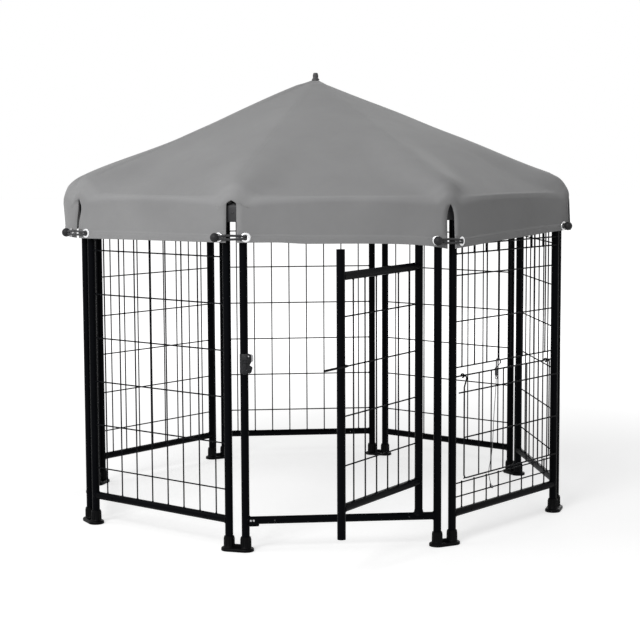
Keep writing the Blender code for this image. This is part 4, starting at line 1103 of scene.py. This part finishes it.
def cloth_point(face, part, share, t, run=None):
    """The cloth's outer point, its outward direction and half the slit's width there.

    share runs down a part from 0 to 1, t across a face from -1 to 1; run, in metres, can stand for t.
    """
    fold_radius = left_fold_radius if face == LEFT_FACE else eave_fold_radius
    level, z, lean = section_place(part, share, t, fold_radius)
    rounding = corner_rounding(level)
    reach = half_run(level, rounding)
    corner = face if t < 0.0 else (face + 1) % PANELS
    gap, bend = slit_edges(corner, section_place(part, share, 1.0)[1])
    if run is None:
        run = t * reach - (gap if t > 0.0 else -gap) * abs(t) ** 3 + bend * abs(t) ** 5
    spot, out = octagon_spot(level, run, rounding)
    bow = cos(t * pi / 2.0)
    out_share = min(1.0, level / (canopy_apothem - 0.01))
    low_share = share if part == SKIRT else 0.0
    drawn = max(0.0, (out_share - 0.50) / 0.50) ** 1.8
    # The cloth sags between the hips; the poles hold it up along them as far as their bends.
    past_pole = max(0.0, (out_share - 0.93) / 0.07) ** 2
    from_hip = (1.0 - abs(t)) * reach
    held = 1.0 - smooth_share(from_hip, 0.014 - 0.010 * past_pole, 0.140 - 0.100 * past_pole)
    drop = (roof_sag - 0.004 * bow) * drawn * (1.0 - held * (1.0 - 0.32 * past_pole))
    rise = 0.004 * bow * sin(pi * out_share) - drop
    rise *= (1.0 - low_share) ** 2
    rise += 0.0012 * (1.0 - bow) * sin(pi * out_share)
    if level < hub_lift_reach:
        rise += hub_lift * (1.0 - level / hub_lift_reach) ** 2
    # A thin ridge runs along the fold, where the seam allowance lies inside.
    ridge = seam_ridge * (1.0 - t**6) * exp(-(((lean - 0.66) / 0.20) ** 2)) if part == FOLD else 0.0
    push = ridge * cos(lean)
    rise += ridge * sin(lean)
    fall = smooth_share(out_share, 0.70, 1.0)
    push += (0.0030 * bow + 0.0035 * (1.0 - bow) * low_share) * fall
    if face == LEFT_FACE:
        belly = (1.0 - t * t) * (1.0 + 0.6 * t) * smooth_share(out_share, 0.58, 1.0)
        push += left_bulge * belly * (1.0 - 0.12 * low_share)
        rise += left_lift * belly * (1.0 - low_share)
        near_apex = smooth_share(out_share, 0.0, 0.08) * (1.0 - smooth_share(out_share, 0.10, 0.60))
        rise += 0.009 * (1.0 - t * t) * near_apex
    if corner == RIGHT_CORNER:
        push += right_corner_bulge * exp(-((from_hip / 0.09) ** 2)) * smooth_share(out_share, 0.86, 1.0)
    rise -= hem_drop(face, t, reach) * low_share**1.3
    if part == SKIRT and z < hem_height + hem_fold:
        push += hem_step
    turned = Matrix.Rotation(turn * face, 2)
    where = turned @ spot
    away = turned @ out
    # Small waves and a crumple, the same at every run of the script
    wave = noise.noise(Vector((where.x * 5.0, where.y * 5.0, z * 7.0)))
    crumple = noise.noise(Vector((where.x * 14.0, where.y * 14.0, z * 9.0 + 4.0)))
    push += (0.0030 * wave + 0.0009 * crumple) * min(1.0, out_share * 1.2)
    if part == ROOF:
        rise += 0.0022 * wave * sin(pi * out_share)
    point = Vector((where.x + away.x * push, where.y + away.y * push, z + rise))
    return point + centre, Vector((away.x * cos(lean), away.y * cos(lean), sin(lean))), gap


def hem_share(z, t):
    top = section_place(SKIRT, 0.0, t)[1]
    return (top - z) / (top - hem_height)


def section_at(index, t):
    """The listed sections, then five close rows that follow the hem's fold."""
    if index < len(sections):
        return sections[index]
    drop = (hem_fold + 0.0006, hem_fold - 0.0006, hem_fold * 0.5, 0.0012, 0.0)[index - len(sections)]
    return SKIRT, hem_share(hem_height + drop, t)


def canopy_sheet():
    bm = bmesh.new()
    uv = bm.loops.layers.uv.new("cloth")
    grid = {}
    merged = {}
    count = len(sections) + 5
    runs = [0.0]
    for i in range(1, count):
        before = section_place(*section_at(i - 1, 0.0), 0.0)
        after = section_place(*section_at(i, 0.0), 0.0)
        runs.append(runs[-1] + sqrt((after[0] - before[0]) ** 2 + (after[1] - before[1]) ** 2))
    for face in range(PANELS):
        for i in range(count):
            for j in range(face_columns + 1):
                t = -1.0 + 2.0 * j / face_columns
                point, _, gap = cloth_point(face, *section_at(i, t), t)
                shared = gap == 0.0 and j in (0, face_columns)
                key = (face if j == 0 else (face + 1) % PANELS, i)
                if shared and key in merged:
                    grid[face, i, j] = merged[key]
                    continue
                grid[face, i, j] = bm.verts.new(point)
                if shared:
                    merged[key] = grid[face, i, j]
    for face in range(PANELS):
        for i in range(count - 1):
            for j in range(face_columns):
                corners = [(i, j), (i, j + 1), (i + 1, j + 1), (i + 1, j)]
                made = bm.faces.new([grid[face, a, b] for a, b in corners])
                for loop, (a, b) in zip(made.loops, corners):
                    level = section_place(*section_at(a, 0.0), 0.0)[0]
                    across = (b / face_columns * 2.0 - 1.0) * half_run(level, corner_rounding(level))
                    loop[uv].uv = (across, -runs[a])
    return bm


def paint_fold_highlight(material, run, reach, highlight_gain):
    """Paints a highlight into the cloth's colour: a paler line along the fold, where the cloth turns over the
    eave.
    """
    tree = material.node_tree
    shader = tree.nodes["Principled BSDF"]
    base = shader.inputs["Base Color"].links[0].from_socket
    down = node(tree, "SeparateXYZ", Vector=texture_space(tree, "UV")).outputs["Y"]
    past = node(tree, "Math", down, run, operation="ADD").outputs["Value"]
    away = node(tree, "Math", past, operation="ABSOLUTE").outputs["Value"]
    band = node(tree, "MapRange", Value=away, From_Min=reach * 0.25, From_Max=reach, To_Min=highlight_gain, To_Max=1.0)
    band.interpolation_type = "SMOOTHSTEP"
    tint = node(tree, "HueSaturation", Value=band.outputs["Result"], Color=base)
    fill(tree, shader, Base_Color=tint.outputs["Color"])


roof_end = section_place(ROOF, 1.0, 0.0)[0]
# Painted highlight: the canopy cloth's colour is made paler in a band along the eave's fold.
paint_fold_highlight(canopy_cloth, (roof_end - apex_hole) / cos(canopy_slope) + eave_fold_radius * 0.5, 0.012, 1.10)


def punch(bm, spot, hole, reach):
    """Opens a round hole in the sheet; the grommet's flange covers its rim."""
    for cuts in (2, 1):
        near = [f for f in bm.faces if (f.calc_center_median() - spot).length < reach]
        edges = {e for f in near for e in f.edges}
        bmesh.ops.subdivide_edges(bm, edges=list(edges), cuts=cuts, use_grid_fill=True)
    inside = [f for f in bm.faces if (f.calc_center_median() - spot).length < hole]
    bmesh.ops.delete(bm, geom=inside, context="FACES")


tie_height = hem_height + grommet_above_hem
tie_run = half_run(canopy_apothem, corner_rounding(canopy_apothem)) - grommet_from_corner + 0.0030


def tie_place(corner, side):
    """Where a grommet sits, on the face before (-1) or after (+1) a corner."""
    face = (corner - 1) % PANELS if side < 0 else corner
    t = -side * tie_run / half_run(canopy_apothem, corner_rounding(canopy_apothem))
    return cloth_point(face, SKIRT, hem_share(tie_height, t), t, -side * tie_run)[:2]


cloth_bm = canopy_sheet()
for corner in range(PANELS):
    for side in (-1, 1):
        punch(cloth_bm, tie_place(corner, side)[0], 0.0082, 0.024)
bmesh.ops.recalc_face_normals(cloth_bm, faces=cloth_bm.faces[:])
cloth = bpy.data.objects.new("canopy_cloth", mesh_of("canopy_cloth", cloth_bm))
cloth.data.shade_smooth()
dress(cloth, canopy_cloth, None, ["canopy"])
thick = cloth.modifiers.new("thickness", "SOLIDIFY")
thick.thickness = cloth_thickness
thick.offset = -1.0


def add_stitch(bm, first, second, out):
    """A thread's visible stretch, sunk at both ends."""
    middle = (first + second) / 2.0 + out * 0.0005
    sweep(bm, [first - out * 0.0003, middle, second - out * 0.0003], [0.00022, 0.00042, 0.00022], 5)


stitches = bmesh.new()
stitch_pitch = 0.0062
hip_stitches = 118
stitch_ends = (0.12, 0.88)
hem_reach = half_run(canopy_apothem, corner_rounding(canopy_apothem))
for face in range(PANELS):
    count = int(2.0 * (hem_reach - 0.018) / stitch_pitch)
    for i in range(count):
        ends = []
        for part_way in stitch_ends:
            run = (i + part_way - count / 2.0) * stitch_pitch
            t = run / hem_reach
            ends.append(cloth_point(face, SKIRT, hem_share(hem_height + hem_fold - 0.003, t), t, run))
        add_stitch(stitches, ends[0][0], ends[1][0], ends[0][1])
    for t_sign in (-1.0, 1.0):
        for i in range(hip_stitches):
            ends = []
            for part_way in stitch_ends:
                share = 0.045 + 0.93 * (i + part_way) / hip_stitches
                level = section_place(ROOF, share, 1.0)[0]
                reach = half_run(level, corner_rounding(level))
                run = t_sign * (reach - 0.0055)
                ends.append(cloth_point(face, ROOF, share, run / reach, run))
            add_stitch(stitches, ends[0][0], ends[1][0], ends[0][1])
stitching = new_piece("canopy_stitching", stitches, thread_cloth)


# Grommets and ball bungees at each corner

flange = mm(
    (7.2, -2.6), (7.0, -0.6), (7.4, 1.0), (9.0, 1.7), (11.2, 1.4), (12.8, 0.5), (13.0, -0.2),
    (8.6, -0.4), (8.6, -1.4), (12.6, -1.8), (12.4, -2.6), (9.0, -3.1),
)
ball = [(ball_radius * sin(pi * i / 20.0), -ball_radius * cos(pi * i / 20.0)) for i in range(21)]
ball_rim = [(ball_radius + step, z) for step, z in mm((-0.2, -0.6), (0.3, 0.0), (-0.2, 0.6), (-2.0, 0.0))]
strand_apart = 0.0036
strand_radius = 0.0031
# Where a strand passes the right grommet: outward from it and along the wall, from the outer side in
through_grommet = mm((6.0, -9.5), (1.4, -1.0), (-7.0, 1.0))
behind_grommet = mm((-9.5, 1.0))


def bungee_path(ball_at, middle, right_at, right_out, along):
    """From the ball through the right grommet, round behind it and back, a strand above and one below."""
    def strand(places, lift):
        return [right_at + right_out * out + along * step + UP * lift for out, step in places]

    path = []
    for lift in (strand_apart, -strand_apart):
        half = [ball_at + UP * lift * 0.6, (ball_at + middle) / 2.0 + UP * lift * 1.2, middle + UP * lift * 1.4]
        half += strand(through_grommet, lift)
        path += half if lift > 0.0 else strand(behind_grommet, 0.0) + half[::-1]
    return path


for corner in range(PANELS):
    number = str(corner + 1)
    rings = bmesh.new()
    ends = []
    for side in (-1, 1):
        place_at, out = tie_place(corner, side)
        turned = Matrix((UP.cross(out), UP, out)).transposed().to_4x4()
        turned.translation = place_at
        lathe(rings, flange, 36, turned, closed=True)
        ends.append((place_at, out))
    new_piece("grommets_" + number, rings, nickel)
    (left_at, left_out), (right_at, right_out) = ends
    ball_at = left_at + left_out * (ball_radius + 0.0025)
    tie = bmesh.new()
    lathe(tie, ball, 32, Matrix.Translation(ball_at))
    lathe(tie, ball_rim, 32, Matrix.Translation(ball_at) @ ALONG_X, closed=True)
    new_piece("ball_" + number, tie, ball_plastic, None, ["bungee_" + number])
    middle = (left_at + right_at) / 2.0 + (left_out + right_out).normalized() * 0.0105
    path = bungee_path(ball_at, middle, right_at, right_out, (right_at - left_at).normalized())
    cords = bmesh.new()
    sweep(cords, smooth_path(path, 0.0016), strand_radius, 12)
    new_piece("bungee_loop_" + number, cords, elastic)


# Snap hook: bow, spring gate, knurled barrel and swivel eye

def snap_hook_mesh():
    bm = bmesh.new()
    bow_z = hook_rest - hook_bow_radius
    bow_y = hook_inside - hook_bow_radius
    barrel_top = bow_z - hook_shank
    path = [Vector((0.0, hook_inside, z)) for z in (barrel_top - 0.002, (barrel_top + bow_z) / 2.0, bow_z)]
    path += arc(Vector((0.0, bow_y, bow_z)), hook_bow_radius, 0.0, pi, 14)[1:]
    tip = Vector((0.0, bow_y - hook_bow_radius, bow_z - 0.006))
    path += [tip + UP * 0.0012, tip]
    thick = hook_wire / 2.0
    sizes = [thick * 0.9] * 2 + [thick] * (len(path) - 4) + [thick, thick * 0.7]
    sweep(bm, path, sizes, 14)
    gate_path = [tip + Vector((0.0, 0.0016, -0.0002)), tip + Vector((0.0, 0.0060, -0.0050)),
                 Vector((0.0, hook_inside - 0.0012, barrel_top + 0.001))]
    sweep(bm, smooth_path(gate_path, 0.0012), hook_gate_radius, 10)
    low = barrel_top - hook_barrel_length
    wide = hook_barrel / 2.0 + 0.0005
    barrel = [(wide * 0.55, low), (wide * 0.9, low + 0.0010), (wide, low + 0.0030)]
    for i in range(8):
        z = low + 0.004 + (hook_barrel_length - 0.008) * i / 7.0
        barrel += [(wide * 0.90, z - 0.0006), (wide, z)]
    barrel += [(wide, barrel_top - 0.0030), (wide * 0.9, barrel_top - 0.0010), (wide * 0.55, barrel_top)]
    lathe(bm, barrel, 24, at(0.0, hook_inside, 0.0))
    eye_low = low - hook_eye_length
    wire_ring(bm, Vector((0.0, hook_inside, eye_low + 0.0047)), hook_eye_radius, 0.0012, 24)
    straight(bm, (0.0, hook_inside, low + 0.001), (0.0, hook_inside, eye_low + 0.0080), 0.0016, 12)
    bmesh.ops.translate(bm, verts=bm.verts[:], vec=(hook_place, 0.0, hatch_upper_levels[0]))
    return bm


new_piece("snap_hook_body", snap_hook_mesh(), zinc, hatch_panel, ["snap_hook"])

crimp = bmesh.new()
crimp_ring = wire * 0.75 + seat_gap + 0.00125
crimp_level = hatch_lower_levels[0]
wire_ring(crimp, Vector((crimp_place, 0.0, crimp_level)), crimp_ring, 0.0010, 20)
sleeve = [
    (0.0018, -0.2), (0.0026, -0.16), (0.00275, 0.0), (0.0023, 0.15), (0.00275, 0.3), (0.0023, 0.45),
    (0.00275, 0.6), (0.0026, 0.76), (0.0018, 0.8),
]
sleeve = [(radius, share * crimp_length) for radius, share in sleeve]
lathe(crimp, sleeve, 20, at(crimp_place, crimp_inside, crimp_level))
crimp_piece = new_piece("tether_sleeve", crimp, zinc, hatch_panel, ["tether_crimp"])


# Floor, world and lamps

def seen_directly(tree):
    """1 where the camera, a mirror or glass looks straight at a surface, otherwise 0."""
    rays = node(tree, "LightPath").outputs
    seen = rays["Is Camera Ray"]
    for kind in ("Is Glossy Ray", "Is Transmission Ray"):
        seen = node(tree, "Math", seen, rays[kind], operation="MAXIMUM").outputs["Value"]
    return seen


floor_bm = bmesh.new()
bmesh.ops.create_grid(floor_bm, x_segments=2, y_segments=2, size=30.0)
floor = bpy.data.objects.new("floor", mesh_of("floor", floor_bm))
floor.location = (0.0, 0.0, -0.0005)
bpy.context.scene.collection.objects.link(floor)
floor_material, floor_tree, floor_shader = surface("pale_floor", 0.9, 0.0)
distance = node(floor_tree, "VectorMath", texture_space(floor_tree), operation="LENGTH").outputs["Value"]
glow = node(floor_tree, "MapRange", Value=distance, From_Min=1.2, From_Max=4.5, To_Min=0.64, To_Max=0.94)
strength = node(floor_tree, "Math", seen_directly(floor_tree), glow.outputs["Result"], operation="MULTIPLY")
fill(
    floor_tree, floor_shader, Base_Color=(0.60, 0.60, 0.60, 1.0), Emission_Color=(1.0, 1.0, 1.0, 1.0),
    Emission_Strength=strength.outputs["Value"],
)
floor.data.materials.append(floor_material)

world = bpy.data.worlds.new("studio")
bpy.context.scene.world = world
world.use_nodes = True
sky_tree = world.node_tree
brightness = node(sky_tree, "MapRange", Value=seen_directly(sky_tree), To_Min=0.27, To_Max=1.0)
fill(sky_tree, sky_tree.nodes["Background"], Color=(1.0, 1.0, 1.0, 1.0), Strength=brightness.outputs["Result"])


def area_lamp(name, spot, target, size, power):
    data = bpy.data.lights.new(name, "AREA")
    data.size = size
    data.energy = power
    lamp = bpy.data.objects.new(name, data)
    lamp.location = spot
    lamp.rotation_euler = (Vector(target) - Vector(spot)).to_track_quat("-Z", "Y").to_euler()
    bpy.context.scene.collection.objects.link(lamp)


area_lamp("key", (-3.1, -5.0, 4.2), (0.0, 0.2, 0.6), 2.6, 260.0)
area_lamp("side", (-4.5, -0.5, 4.5), (0.0, 0.2, 0.8), 2.4, 55.0)
area_lamp("back", (2.4, 5.6, 2.3), (0.0, 0.2, 0.7), 2.6, 55.0)

bpy.context.scene.view_settings.view_transform = "Standard"
